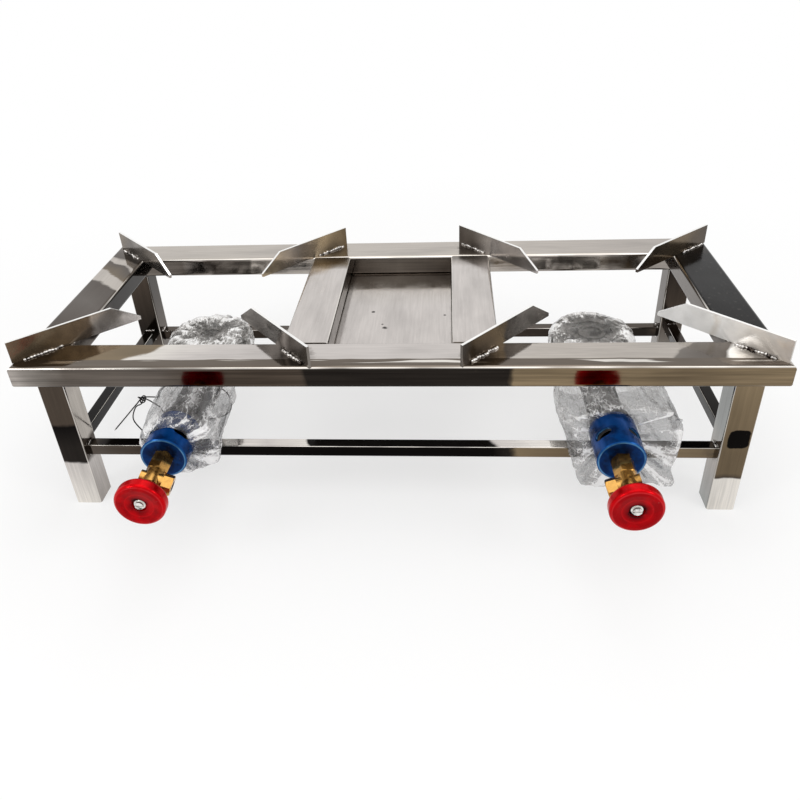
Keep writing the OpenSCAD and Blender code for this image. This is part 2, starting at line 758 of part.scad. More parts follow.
// A skin between an outer and an inner ring at each station, closed at both ends
module film_sleeve(half, drop, shift, mouth) {
    n = film_sides;
    m = len(film_stations_shares);
    points = [for (inset = [0, film_thickness], s = film_stations_shares, k = [0:n - 1])
        film_point(s, half, drop, shift, mouth, inset, 360 * k / n)];
    outer = [for (j = [0:m - 2], k = [0:n - 1], h = [0, 1])
        let (a = j * n + k, b = j * n + (k + 1) % n)
        h == 0 ? [a, b, b + n] : [a, b + n, a + n]];
    inner = [for (j = [0:m - 2], k = [0:n - 1], h = [0, 1])
        let (a = (m + j) * n + k, b = (m + j) * n + (k + 1) % n)
        h == 0 ? [a, b + n, b] : [a, a + n, b + n]];
    front = [for (k = [0:n - 1], h = [0, 1])
        let (a = k, b = (k + 1) % n, c = m * n)
        h == 0 ? [a, c + b, b] : [a, c + a, c + b]];
    back = [for (k = [0:n - 1], h = [0, 1])
        let (a = (m - 1) * n + k, b = (m - 1) * n + (k + 1) % n, c = m * n)
        h == 0 ? [a, b, c + b] : [a, c + b, c + a]];
    polyhedron(points, concat(outer, inner, front, back));
}

module left_tube_film()
    color(film) translate([-burner_x, front_y, tube_height])
        film_sleeve(left_film_width / 2, left_film_drop, left_film_shift, -left_film_reach);
module right_tube_film()
    color(film) translate([burner_x, front_y, tube_height])
        film_sleeve(right_film_width / 2, right_film_drop, right_film_shift,
            right_film_setback);

/* Tie wire: a turn around the left film, a twist at its outer side and two free ends.
   The points are shares of the film's half width, seen from the left tube axis, with the
   depth counted from the turn. */
wire_sides = 8;
wire_turn_start = 12;
wire_turn_steps = 25;
wire_y = film_y(1.5, 0);
wire_half = left_film_width / 2;
wire_lift = film_gap + wire_thickness / 2;
wire_end_shares = [[-2.27, 0, -0.95], [-1.85, 0, -0.50], [-1.48, 0, -0.10], [-1.24, 0, 0.12]];
wire_other_end_shares = [[-1.17, -0.08, 0.14], [-1.30, -0.08, -0.02], [-1.48, -0.08, -0.14],
    [-1.62, -0.08, -0.52], [-1.43, -0.08, -0.94]];

function wire_turn_point(k) =
    let (p = flat_ring(wire_half + wire_lift, film_neck_up + wire_lift,
        film_neck_down + wire_lift, 360 * (wire_turn_start - k) / film_sides))
    [p[0] + left_film_shift / 2, wire_y - wire_thickness * 2 * k / wire_turn_steps, p[1]];
function wire_point(s) = wire_half * s + [0, wire_y, 0];
function cross_unit(a, b) = let (c = cross(a, b)) c / norm(c);

// A round wire swept through points, with flat ends
module swept_wire(path, r, across) {
    n = wire_sides;
    m = len(path);
    points = [for (j = [0:m - 1])
        let (t = path[min(j + 1, m - 1)] - path[max(j - 1, 0)], u = cross_unit(t, across),
            v = cross_unit(u, t))
        for (k = [0:n - 1]) path[j] + r * (cos(360 * k / n) * u + sin(360 * k / n) * v)];
    sides = [for (j = [0:m - 2], k = [0:n - 1], h = [0, 1])
        let (a = j * n + k, b = j * n + (k + 1) % n)
        h == 0 ? [a, b, b + n] : [a, b + n, a + n]];
    start = [[for (k = [0:n - 1]) n - 1 - k]];
    finish = [[for (k = [0:n - 1]) (m - 1) * n + k]];
    polyhedron(points, concat(sides, start, finish));
}

module tie_wire()
    color(cast) translate([-burner_x, front_y, tube_height])
        swept_wire(concat([for (s = wire_end_shares) wire_point(s)],
            [for (k = [0:wire_turn_steps]) wire_turn_point(k)],
            [for (s = wire_other_end_shares) wire_point(s)]),
            wire_thickness / 2, [0, 1, 0]);

front_rail();
back_rail();
left_rail();
right_rail();
left_cross_rail();
right_cross_rail();
centre_tray();
front_left_leg();
front_right_leg();
rear_left_leg();
rear_right_leg();
front_bar();
rear_bar();
left_bar();
right_bar();
bar_welds();
left_front_outer_support();
left_front_inner_support();
left_back_outer_support();
left_back_inner_support();
right_front_outer_support();
right_front_inner_support();
right_back_outer_support();
right_back_inner_support();
support_welds();
left_burner_strip();
right_burner_strip();
left_burner_bolt();
right_burner_bolt();
left_burner_bowl();
right_burner_bowl();
left_burner_top();
right_burner_top();
left_mixing_tube();
right_mixing_tube();
left_mixer_head();
right_mixer_head();
left_air_shutter();
right_air_shutter();
left_gas_jet();
right_gas_jet();
left_valve_body();
right_valve_body();
left_inlet_adapter();
right_inlet_adapter();
left_bonnet_nut();
right_bonnet_nut();
left_spindle();
right_spindle();
left_handwheel();
right_handwheel();
left_wheel_screw();
right_wheel_screw();
left_head_film();
right_head_film();
left_tube_film();
right_tube_film();
tie_wire();
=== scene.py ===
import bmesh
import bpy
import numpy as np
from mathutils import Matrix, Vector


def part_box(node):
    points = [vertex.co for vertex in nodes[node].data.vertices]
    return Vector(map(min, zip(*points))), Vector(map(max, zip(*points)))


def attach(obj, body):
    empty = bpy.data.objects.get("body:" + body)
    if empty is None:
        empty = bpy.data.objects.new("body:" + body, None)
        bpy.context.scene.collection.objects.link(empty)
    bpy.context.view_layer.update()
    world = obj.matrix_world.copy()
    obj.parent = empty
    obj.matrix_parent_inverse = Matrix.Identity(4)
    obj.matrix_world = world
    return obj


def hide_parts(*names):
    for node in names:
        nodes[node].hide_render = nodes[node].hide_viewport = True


# A two burner gas stove on a stainless tube stand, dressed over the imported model.
# Lengths in the dictionaries are millimetres, counted as in the model's source:
# x from the middle, y from the front of the top frame, z from the floor.
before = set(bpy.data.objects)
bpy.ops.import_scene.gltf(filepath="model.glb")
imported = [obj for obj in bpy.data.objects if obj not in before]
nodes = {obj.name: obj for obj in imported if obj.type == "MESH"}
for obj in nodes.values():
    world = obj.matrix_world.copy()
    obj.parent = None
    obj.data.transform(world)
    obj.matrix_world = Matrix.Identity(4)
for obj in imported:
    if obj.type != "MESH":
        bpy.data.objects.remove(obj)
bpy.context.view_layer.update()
print("frame loaded:", len(nodes), "nodes")

place = {
    "frontY": -104.0,  # the frame's front in the model's own frame
    "burnerX": 235.0, "burnerY": 160.0, "tubeZ": 110.0, "openingX": 233.0, "topZ": 196.0,
}


def toFrame(points):
    # millimetres from the frame's front to metres in the model's frame
    return (np.asarray(points, float) + [0.0, place["frontY"], 0.0]) / 1000.0


cameraLook = {
    "spot": (64.0, -620.5, 596.8), "pitchDown": 31.06, "yaw": 4.97, "roll": -2.85,
    "focalPixels": 735.2, "centrePixel": (394.8, 345.8), "imageSide": 800, "sensor": 36.0,
}


def makeCamera(look):
    # forward = (-sin yaw cos pitch, cos yaw cos pitch, -sin pitch), then a turn about it by the roll
    pitch, yaw, roll = (np.radians(look[k]) for k in ("pitchDown", "yaw", "roll"))
    forward = np.array([-np.sin(yaw) * np.cos(pitch), np.cos(yaw) * np.cos(pitch), -np.sin(pitch)])
    flatRight = np.array([np.cos(yaw), np.sin(yaw), 0.0])
    flatUp = np.cross(flatRight, forward)
    right = np.cos(roll) * flatRight + np.sin(roll) * flatUp
    up = np.cos(roll) * flatUp - np.sin(roll) * flatRight
    data = bpy.data.cameras.new("photoCamera")
    data.sensor_width = look["sensor"]
    data.lens = look["focalPixels"] * look["sensor"] / look["imageSide"]
    data.shift_x = 0.5 - look["centrePixel"][0] / look["imageSide"]
    data.shift_y = look["centrePixel"][1] / look["imageSide"] - 0.5
    data.clip_start, data.clip_end = 0.01, 50.0
    camera = bpy.data.objects.new("photoCamera", data)
    bpy.context.scene.collection.objects.link(camera)
    turn = Matrix((right, up, -forward)).transposed().to_4x4()
    camera.matrix_world = Matrix.Translation(Vector(toFrame(look["spot"]))) @ turn
    bpy.context.scene.camera = camera


makeCamera(cameraLook)
print("camera made")


def linear(tone):
    # a tone of 0 to 255 per channel as linear light: ((c + 0.055) / 1.055) to the power 2.4
    c = np.array(tone[:3], float) / 255.0
    return (*np.where(c <= 0.04045, c / 12.92, ((c + 0.055) / 1.055) ** 2.4), 1.0)


def startMaterial(name):
    # a new material with its tree, its shader and the coordinates that ride on the piece
    material = bpy.data.materials.new(name)
    material.use_nodes = True
    tree = material.node_tree
    return material, tree, tree.nodes["Principled BSDF"], addNode(tree, "TexCoord").outputs


def addNode(tree, kind, links=(), **values):
    # a new node with its properties or sockets set; links are (input, output of another node)
    made = tree.nodes.new("ShaderNode" + kind)
    for key, value in values.items():
        if hasattr(made, key):
            setattr(made, key, value)
        else:
            made.inputs[key.replace("_", " ")].default_value = value
    for socket, source in links:
        tree.links.new(source, made.inputs[socket])
    return made


def noiseOf(coords, scale, detail=3.0, stretch=(1, 1, 1), rough=0.55):
    # noise on object coordinates, its lumps drawn out where stretch is below 1
    turned = addNode(coords.id_data, "Mapping", [("Vector", coords)], Scale=stretch)
    return addNode(coords.id_data, "TexNoise", [("Vector", turned.outputs[0])],
                   Scale=scale, Detail=detail, Roughness=rough).outputs[0]


def rampOf(value, stops):
    # a colour ramp through (share, tone) stops
    ramp = addNode(value.id_data, "ValToRGB", [("Fac", value)])
    parts = ramp.color_ramp.elements
    while len(parts) < len(stops):
        parts.new(0.5)
    for part, (share, tone) in zip(parts, stops):
        part.position = share
        part.color = linear(tone) if isinstance(tone, tuple) else (tone, tone, tone, 1.0)
    return ramp.outputs[0]


def feed(socket, value):
    # an input gets a number, a tone or another node's output
    if isinstance(value, (int, float)):
        socket.default_value = value
    elif isinstance(value, tuple):
        socket.default_value = linear(value)
    else:
        socket.id_data.links.new(value, socket)


def dress(shader, **values):
    # sets or links each named socket of a shader
    for name, value in values.items():
        feed(shader.inputs[name.replace("_", " ")], value)


def mixColour(factor, a, b, blend="MIX"):
    # a where the factor is 0, b where it is 1; the factor or a is another node's output
    tree = (factor if hasattr(factor, "id_data") else a).id_data
    mix = addNode(tree, "Mix", data_type="RGBA", blend_type=blend)
    for k, value in ((0, factor), (6, a), (7, b)):
        feed(mix.inputs[k], value)
    return mix.outputs[2]


def mathOf(operation, a, b=0.0, clamp=False):
    made = addNode(a.id_data, "Math", operation=operation, use_clamp=clamp)
    feed(made.inputs[0], a)
    feed(made.inputs[1], b)
    return made.outputs[0]


def plus(a, b):
    return mathOf("ADD", a, b)


def times(a, b):
    return mathOf("MULTIPLY", a, b)


def centred(spot, scale, detail):
    # noise about zero, from -0.5 to 0.5
    return mathOf("SUBTRACT", noiseOf(spot, scale, detail), 0.5)


def spread(value, low, high, toLow=0.0, toHigh=1.0, soft=False):
    # the value's way from low to high, clamped, as toLow to toHigh
    kind = "SMOOTHSTEP" if soft else "LINEAR"
    return addNode(value.id_data, "MapRange", [("Value", value)], interpolation_type=kind,
                   From_Min=low, From_Max=high, To_Min=toLow, To_Max=toHigh).outputs[0]


def vectorOf(operation, spot, other=(0.0, 0.0, 0.0)):
    # DISTANCE to a point, DOT_PRODUCT with a direction, or LENGTH
    made = addNode(spot.id_data, "VectorMath", [(0, spot)], operation=operation)
    made.inputs[1].default_value = tuple(other)
    return made.outputs["Value"]


def nearPoint(spot, point, radius, ragged):
    # 1 at a point given in millimetres, falling to 0 at its ragged radius
    torn = plus(vectorOf("DISTANCE", spot, toFrame(point)), times(ragged, radius / 1000.0))
    solid = 0.35  # share of the radius that is fully covered
    return spread(torn, radius / 1000.0, radius * solid / 1000.0)


studio = {
    "floorTone": 0.92, "floorRough": 0.9, "floorShine": 0.1, "floorSide": 9.0,
    "whiteFrom": (0.50, 1.15),  # metres from the middle where the floor passes into plain white
    "whiteNear": 0.6,           # share of plain white under the stove, the rest keeps its shadow
    "skyTone": (1.0, 0.995, 0.985, 1.0), "skyStrength": 0.68,
    "lamps": [
        # name, spot in metres, aim, side, power in watts
        ("softTop", (0.1, -0.3, 2.1), (0.0, 0.0, 0.1), 2.0, 14.0),
        ("softLeft", (-1.6, -1.3, 1.5), (-0.1, 0.0, 0.12), 0.7, 9.0),
        ("softRight", (1.7, -1.0, 1.3), (0.1, 0.0, 0.12), 0.6, 6.0),
        ("softRear", (0.2, 1.3, 2.3), (0.0, 0.0, 0.15), 1.4, 6.0),
    ],
}


def seenByEye(tree):
    # 1 where the eye sees it straight, in a mirror or through glass, 0 where it only lights
    path = addNode(tree, "LightPath")
    last = path.outputs["Is Camera Ray"]
    for kind in ("Is Glossy Ray", "Is Transmission Ray"):
        last = mathOf("MAXIMUM", last, path.outputs[kind])
    return last


def makeWorld(look):
    # plain white where it is seen, a softer sky where it lights
    world = bpy.data.worlds.new("paleRoom")
    bpy.context.scene.world = world
    world.use_nodes = True
    tree = world.node_tree
    tree.nodes.clear()
    lit = addNode(tree, "Background", Color=look["skyTone"], Strength=look["skyStrength"])
    seen = addNode(tree, "Background", Color=(1.0, 1.0, 1.0, 1.0), Strength=1.0)
    mix = addNode(tree, "MixShader", [(0, seenByEye(tree)), (1, lit.outputs[0]), (2, seen.outputs[0])])
    addNode(tree, "OutputWorld", [(0, mix.outputs[0])])


def makeFloor(look):
    # a square that passes into plain white away from the stove
    side = look["floorSide"] / 2
    mesh = bpy.data.meshes.new("floor")
    corners = [(-side, -side, 0), (side, -side, 0), (side, side, 0), (-side, side, 0)]
    mesh.from_pydata(corners, [], [(0, 1, 2, 3)])
    floor = bpy.data.objects.new("floor", mesh)
    bpy.context.scene.collection.objects.link(floor)
    paint, tree, shader, coords = startMaterial("paleFloor")
    shader.inputs["Base Color"].default_value = (look["floorTone"],) * 3 + (1.0,)
    dress(shader, Roughness=look["floorRough"], Specular_IOR_Level=look["floorShine"])
    far = vectorOf("LENGTH", coords["Object"])
    fade = spread(far, *look["whiteFrom"], look["whiteNear"], 1.0, soft=True)
    share = times(fade, seenByEye(tree))
    white = addNode(tree, "Emission")
    mix = addNode(tree, "MixShader", [(0, share), (1, shader.outputs[0]), (2, white.outputs[0])])
    tree.links.new(mix.outputs[0], tree.nodes["Material Output"].inputs["Surface"])
    mesh.materials.append(paint)


def makeLamps(look):
    for name, spot, aim, size, power in look["lamps"]:
        lamp = bpy.data.lights.new(name, "AREA")
        lamp.size, lamp.energy = size, power
        holder = bpy.data.objects.new(name, lamp)
        holder.location = spot
        holder.rotation_euler = (Vector(aim) - Vector(spot)).to_track_quat("-Z", "Y").to_euler()
        bpy.context.scene.collection.objects.link(holder)


bpy.context.scene.view_settings.view_transform = "Standard"
makeWorld(studio)
makeFloor(studio)
makeLamps(studio)
print("studio made")


def bumpOf(height, strength, distance, under=None):
    # a bump, on top of the one under it
    links = [("Height", height)] + ([("Normal", under)] if under else [])
    return addNode(height.id_data, "Bump", links, Strength=strength, Distance=distance).outputs[0]


def setMaterial(nodeNames, material):
    for name in nodeNames:
        slots = nodes[name].data.materials
        slots.clear()
        slots.append(material)


# The pan supports: side, outwards, back and the angle from the length, as in the source
supportPlaces = {
    "left_front_outer_support": (-1, 1, -1, 42), "left_front_inner_support": (-1, -1, -1, 48),
    "left_back_outer_support": (-1, 1, 1, 44), "left_back_inner_support": (-1, -1, 1, 46),
    "right_front_outer_support": (1, 1, -1, 44), "right_front_inner_support": (1, -1, -1, 47),
    "right_back_outer_support": (1, 1, 1, 40), "right_back_inner_support": (1, -1, 1, 47),
}
# Where their tips stand, and along each one the weld's run and its middle, from the tip
supportForm = {
    "gapX": 120.0, "gapY": 108.0, "length": 138.0, "half": 1.5, "weld": (91.0, 129.0), "heat": 112.0,
    "heatRadius": 24.0, "burntRadius": 26.0, "burntShare": 0.55, "beadOff": 1.0, "beadUp": 0.7,
    "rough": (0.10, 0.30),
}


def supportLine(name):
    # the tip of a support and the unit direction from its tip to its outer end, on the frame's top
    side, outwards, back, angle = supportPlaces[name]
    form = supportForm
    tip = np.array([side * (place["openingX"] + outwards * form["gapX"] / 2),
                    place["burnerY"] + back * form["gapY"] / 2, place["topZ"]])
    turn = np.radians(angle)
    return tip, np.array([side * outwards * np.cos(turn), back * np.sin(turn), 0.0])


def weldSpots(test):
    # the middles and the radius of the heat marks whose x and y pass the test
    spots = []
    for name in supportPlaces:
        tip, way = supportLine(name)
        spot = tip + way * supportForm["heat"]
        if test(*spot[:2]):
            spots.append((*spot, supportForm["heatRadius"]))
    return spots


tones = {
    "white": (244, 243, 241), "cream": (226, 221, 214), "pale": (200, 194, 190), "shell": (186, 179, 171),
    "soft": (165, 158, 152), "mist": (150, 152, 150), "grey": (122, 116, 110), "dim": (92, 85, 79),
    "olive": (126, 110, 87), "taupe": (122, 110, 98), "sand": (204, 184, 152), "brown": (106, 92, 73),
    "stone": (105, 96, 87), "umber": (72, 63, 55), "soot": (38, 34, 31), "black": (15, 13, 12),
}
# What the two pieces of a pair share
crossRail = {"axis": 1, "wobble": 8.0, "tear": 3.0, "rough": 0.15}
rearLeg = {"axis": 2, "wobble": 6.0, "tear": 3.0, "rough": 0.12}
sideBar = {"axis": 1, "wobble": 10.0, "tear": 4.0, "rough": 0.12,
           "x": [(39, "black"), (200, "black"), (270, "soot")]}
strip = {"axis": 1, "wobble": 8.0, "tear": 4.0, "rough": 0.20, "x": [(17, "dim"), (292, "dim")]}
# For each piece: the axis along it, then the painted reflections on its faces across X, Y and Z, laid
# along that axis as (millimetres, tone). Wobble and tear are how far the painted reflections' edges wander,
# slant how much they lean across the piece, and the stripe is a painted reflection band along the front of the
# top.
steelLooks = {
    "front_rail": {
        "axis": 0, "wobble": 22.0, "tear": 5.0, "slant": -0.9, "rough": 0.07, "streaks": 0.85,
        "y": [(-400, "soft"), (-370, "grey"), (-340, "dim"), (-240, "dim"), (-170, "umber"), (-92, "umber"),
              (-88, "soot"), (121, "soot"), (125, "olive"), (200, "olive"), (300, "brown"), (400, "olive")],
        "z": [(-400, "grey"), (-375, "olive"), (-330, "olive"), (-272, "olive"), (-266, "cream"), (-200, "pale"),
              (-60, "pale"), (60, "pale"), (150, "shell"), (296, "shell"), (300, "grey"), (345, "dim"),
              (349, "white"), (375, "cream"), (400, "pale")],
        # painted reflection band along the front of the top, with painted glints
        "stripe": {"width": 17.0, "tone": "stone", "glint": (9.0, 10.0, 13.6, 15.0)},
        "smudges": weldSpots(lambda x, y: y < 60),
    },
    "back_rail": {
        "axis": 0, "wobble": 20.0, "tear": 5.0, "rough": 0.09, "streaks": 0.6,
        "y": [(-400, "grey"), (-300, "dim"), (-262, "soft"), (-258, "dim"), (-205, "grey"), (-200, "shell"),
              (-140, "shell"), (-80, "soft"), (-66, "dim"), (0, "grey"), (66, "dim"), (110, "grey"),
              (116, "shell"), (200, "soft"), (206, "grey"), (255, "shell"), (275, "grey"), (400, "soft")],
        "z": [(-400, "shell"), (-200, "shell"), (0, "shell"), (150, "shell"), (400, "soft")],
        "smudges": weldSpots(lambda x, y: y > 260),
    },
    "left_rail": {
        "axis": 1, "wobble": 16.0, "tear": 6.0, "slant": 0.8, "rough": 0.08,
        "x": [(0, "soft"), (40, "umber"), (110, "dim"), (160, "soot"), (250, "soot"), (320, "dim")],
        "z": [(0, "dim"), (30, "umber"), (60, "umber"), (150, "dim"), (196, "umber"), (201, "shell"),
              (222, "shell"), (226, "brown"), (250, "umber"), (254, "shell"), (268, "shell"), (273, "umber"),
              (320, "grey")],
        "smudges": weldSpots(lambda x, y: x < -350),
    },
    "right_rail": {
        "axis": 1, "wobble": 14.0, "tear": 8.0, "rough": 0.13, "speckle": 0.16,
        "x": [(0, "olive"), (60, "umber"), (150, "dim"), (320, "dim")],
        "z": [(0, "shell"), (20, "soft"), (30, "black"), (170, "black"), (290, "black"), (320, "soot")],
        "smudges": weldSpots(lambda x, y: x > 350),
    },
    "left_cross_rail": {
        **crossRail,
        "x": [(50, "dim"), (120, "grey"), (270, "umber")],
        "z": [(50, "pale"), (150, "pale"), (232, "pale"), (238, "soft"), (250, "brown"), (270, "umber")],
    },
    "right_cross_rail": {
        **crossRail,
        "x": [(50, "grey"), (160, "dim"), (270, "umber")],
        "z": [(50, "pale"), (180, "pale"), (238, "pale"), (252, "soft"), (262, "grey"), (270, "grey")],
    },
    "centre_tray": {
        "axis": 1, "wobble": 6.0, "tear": 2.0, "rough": 0.13,
        "x": [(30, "pale"), (290, "pale")],
        "z": [(30, "pale"), (180, "pale"), (240, "shell"), (262, "soft"), (290, "grey")],
        "dots": [(-28.8, 163.8, 170.5, 2.6), (-11.3, 124.3, 170.5, 4.2), (58.7, 154.8, 170.5, 2.4),
                 (-15.0, 133.0, 170.5, 1.8)],
    },
    "front_left_leg": {
        "axis": 2, "wobble": 7.0, "tear": 3.0, "rough": 0.09,
        "x": [(0, "soft"), (60, "pale"), (66, "dim"), (82, "umber"), (88, "shell"), (150, "shell"),
              (171, "soft")],
        "y": [(0, "cream"), (60, "pale"), (63, "soot"), (84, "soot"), (112, "black"), (116, "umber"),
              (171, "umber")],
        "smudges": [(-348, 24, 73.5, 14.0), (-365, 42, 79.0, 11.0)],
    },
    "front_right_leg": {
        "axis": 2, "wobble": 6.0, "tear": 2.0, "rough": 0.08,
        "x": [(0, "mist"), (60, "soft"), (110, "mist"), (171, "mist")],
        "y": [(0, "cream"), (44, "cream"), (46, "umber"), (52, "brown"), (80, "brown"), (171, "olive")],
        # painted reflection of a dark thing on the front face
        "patch": {"middle": (366.5, 99.0), "half": (11.5, 12.0), "tone": "black"},
        "smudges": [(348, 24, 73.5, 14.0), (365, 42, 84.0, 11.0)],
    },
    "rear_left_leg": {
        **rearLeg,
        "x": [(0, "soft"), (60, "dim"), (90, "umber"), (171, "soot")],
        "y": [(0, "pale"), (60, "dim"), (85, "soot"), (171, "umber")],
        "smudges": [(-348, 285, 73.5, 13.0)],
    },
    "rear_right_leg": {
        **rearLeg,
        "x": [(0, "soft"), (60, "grey"), (100, "umber"), (171, "umber")],
        "y": [(0, "pale"), (60, "grey"), (100, "umber"), (171, "soot")],
        "smudges": [(348, 285, 73.5, 13.0)],
    },
    "front_bar": {
        "axis": 0, "wobble": 16.0, "tear": 6.0, "slant": 0.8, "rough": 0.08,
        "y": [(-350, "dim"), (-300, "umber"), (-250, "black"), (110, "black"), (130, "soot"), (136, "olive"),
              (200, "brown"), (290, "olive"), (350, "brown")],
        "z": [(-350, "soot"), (-300, "black"), (-192, "black"), (-186, "cream"), (-140, "pale"), (-97, "cream"),
              (-93, "black"), (110, "black"), (116, "pale"), (172, "cream"), (200, "grey"), (235, "black"),
              (280, "umber"), (350, "umber")],
        "smudges": [(-345, 24, 75, 12.0), (345, 24, 75, 12.0)],
    },
    "rear_bar": {
        "axis": 0, "wobble": 14.0, "tear": 5.0, "rough": 0.12,
        "y": [(-350, "soot"), (0, "umber"), (350, "soot")], "z": [(-350, "umber"), (0, "dim"), (350, "umber")],
        "smudges": [(-345, 285, 75, 12.0), (345, 285, 75, 12.0)],
    },
    "left_bar": {
        **sideBar, "z": [(39, "black"), (200, "black"), (270, "umber")],
        "smudges": [(-365, 44, 79, 12.0), (-365, 266, 79, 12.0)],
    },
    "right_bar": {
        **sideBar, "z": [(39, "black"), (200, "soot"), (270, "umber")],
        "smudges": [(365, 44, 84, 12.0), (365, 266, 84, 12.0)],
    },
    "left_burner_strip": {**strip, "z": [(17, "grey"), (120, "soft"), (200, "grey"), (292, "soft")]},
    "right_burner_strip": {**strip, "z": [(17, "grey"), (120, "grey"), (200, "soft"), (292, "grey")]},
}


# Lumps per metre of each noise in the steel
steelGrain = {
    "slow": 24.0, "fine": 140.0,       # wander and tear of the mirrored edges
    "strokes": 230.0, "marks": 420.0,  # grinding strokes and polishing marks
    "reflectionClouds": 30.0, "dull": 60.0, "specks": 210.0, "edgeHighlight": 17.0, "glint": 11.0, "swell": 13.0,
}


def faceShare(facing, k):
    # 1 on faces that look along axis k, 0 on the others
    return spread(mathOf("ABSOLUTE", facing.outputs[k]), 0.55, 0.8)


def drawnOut(axis, less):
    # a stretch that draws the noise out along one axis
    return tuple(less if k == axis else 1.0 for k in range(3))


def bandOf(along, stops, start):
    # the tones of the stops, laid along a tube from its start in metres
    first, last = stops[0][0], stops[-1][0]
    share = spread(along, first / 1000.0 + start, last / 1000.0 + start)
    return rampOf(share, [((p - first) / (last - first), tones[t]) for p, t in stops])


def paintedReflectionStripe(spot, across, sway, top, stripe):
    # a painted reflection: a darker band along the front of the top, and a line in it of painted glints here and
    # there
    tone = tones[stripe["tone"]]
    ragged = plus(across, times(sway, 0.10))

    def behindFront(near, far, *ends):
        return spread(ragged, (place["frontY"] + near) / 1000, (place["frontY"] + far) / 1000, *ends)

    inside = behindFront(stripe["width"] - 1.0, stripe["width"], 1.0, 0.0)
    lineFrom, lineOn, lineOff, lineTo = stripe["glint"]
    line = times(behindFront(lineFrom, lineOn), behindFront(lineTo, lineOff))
    shine = noiseOf(spot, steelGrain["glint"], 0.0, (1.0, 9.0, 1.0))
    glint = rampOf(shine, [(0.585, tone), (0.635, tones["cream"])])
    return mixColour(inside, top, mixColour(line, tone, glint))


def reflectedPatchShare(split, facing, fine, patch):
    # 1 on a painted reflection of a dark thing in the front face: the fourth powers of the shares
    # of its half sides across and up add up to less than 1
    parts = []
    for k, middle, half in zip((0, 2), patch["middle"], patch["half"]):
        off = mathOf("SUBTRACT", plus(split.outputs[k], times(fine, 0.004)), middle / 1000.0)
        share = mathOf("DIVIDE", mathOf("ABSOLUTE", off), half / 1000.0)
        parts.append(mathOf("POWER", share, 4.0))
    return times(spread(plus(*parts), 1.1, 0.8), spread(facing.outputs[1], -0.6, -0.9))


def steelMaterial(name, look, grain):
    material, tree, shader, coords = startMaterial(name + "Steel")
    spot = coords["Object"]
    split = addNode(tree, "SeparateXYZ", [(0, spot)])
    facing = addNode(tree, "SeparateXYZ", [(0, coords["Normal"])])
    axis = look["axis"]
    other = 1 if axis == 0 else 0
    start = place["frontY"] / 1000.0 if axis == 1 else 0.0
    fine = centred(spot, grain["fine"], 3.0)
    sway = plus(times(centred(spot, grain["slow"], 1.0), look["wobble"] * 2 / 1000.0),
                times(fine, look["tear"] / 1000.0))
    along = plus(split.outputs[axis], sway)
    colour = None
    # painted reflections on the faces across X, Y and Z
    for k, key in enumerate("xyz"):
        if key not in look:
            continue
        if key == "z" and "slant" in look:  # the tones lean across the top
            along = plus(along, times(split.outputs[other], look["slant"]))
            start += sum(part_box(name)[end][other] for end in (0, 1)) / 2 * look["slant"]
        band = bandOf(along, look[key], start)
        if key == "z" and "stripe" in look:
            band = paintedReflectionStripe(spot, split.outputs[1], sway, band, look["stripe"])
        colour = mixColour(faceShare(facing, k), colour, band) if colour else band
    strokes = rampOf(noiseOf(spot, grain["strokes"], 3.0, drawnOut(axis, 0.02), 0.7),
                     [(0.36, 0.66), (0.5, 1.0), (0.64, 1.3)])
    streaked = mixColour(look.get("streaks", 0.2), colour, strokes, "MULTIPLY")
    colour = mixColour(faceShare(facing, 2), streaked, colour)
    # a painted reflection of a dark thing on the front face
    if "patch" in look:
        share = reflectedPatchShare(split, facing, fine, look["patch"])
        colour = mixColour(share, colour, tones[look["patch"]["tone"]])
    # painted reflection: soft cloudy patches of what is mirrored, then drawn-out polishing marks
    reflectionClouds = rampOf(noiseOf(spot, grain["reflectionClouds"], 3.0, drawnOut(axis, 0.3)),
                    [(0.30, 0.80), (0.50, 1.0), (0.75, 1.10)])
    colour = mixColour(0.7, colour, reflectionClouds, "MULTIPLY")
    marks = noiseOf(spot, grain["marks"], 3.0, drawnOut(axis, 0.05))
    colour = mixColour(0.5, colour, rampOf(marks, [(0.3, 0.86), (0.7, 1.10)]), "MULTIPLY")
    if "speckle" in look:
        specks = rampOf(noiseOf(spot, grain["specks"], 2.0, rough=0.7), [(0.64, 0.0), (0.71, 1.0)])
        colour = mixColour(times(specks, look["speckle"]), colour, tones["soft"])
    for x, y, z, radius in look.get("smudges", []):  # heat marks of the welds
        heat = nearPoint(spot, (x, y, z), radius, fine)
        colour = mixColour(times(heat, 0.75), colour, tones["umber"])
    for x, y, z, radius in look.get("dots", []):  # scale and dirt left on the sheet
        dot = nearPoint(spot, (x, y, z), radius, times(fine, 1.6))
        colour = mixColour(dot, colour, tones["soot"])
    # painted highlight: the rounded long edges are painted as if they catch the light, on the faces turned up;
    # there both normals across the tube are far from zero
    sides = [mathOf("ABSOLUTE", facing.outputs[k]) for k in range(3) if k != axis]
    edge = spread(mathOf("MINIMUM", *sides), 0.48, 0.60)
    litFromAbove = spread(facing.outputs[2], -0.1, 0.2) if axis != 2 else 1.0
    edgeHighlight = rampOf(noiseOf(spot, grain["edgeHighlight"], 1.0), [(0.35, 0.25), (0.6, 0.85)])
    colour = mixColour(times(times(edge, litFromAbove), edgeHighlight), colour, tones["cream"])
    rough = look["rough"]
    dull = spread(noiseOf(spot, grain["dull"], 4.0), 0.3, 0.75, rough * 0.7, rough * 1.8)
    # tube walls are never quite flat, and the polish leaves fine lines
    swell = bumpOf(noiseOf(spot, grain["swell"], 1.0), 0.16, 0.004)
    dress(shader, Base_Color=colour, Roughness=plus(dull, spread(marks, 0.55, 0.8, 0.0, 0.05)),
          Normal=bumpOf(marks, 0.05, 0.0004, swell), Metallic=1.0)
    return material


for nodeName, look in steelLooks.items():
    setMaterial([nodeName], steelMaterial(nodeName, look, steelGrain))
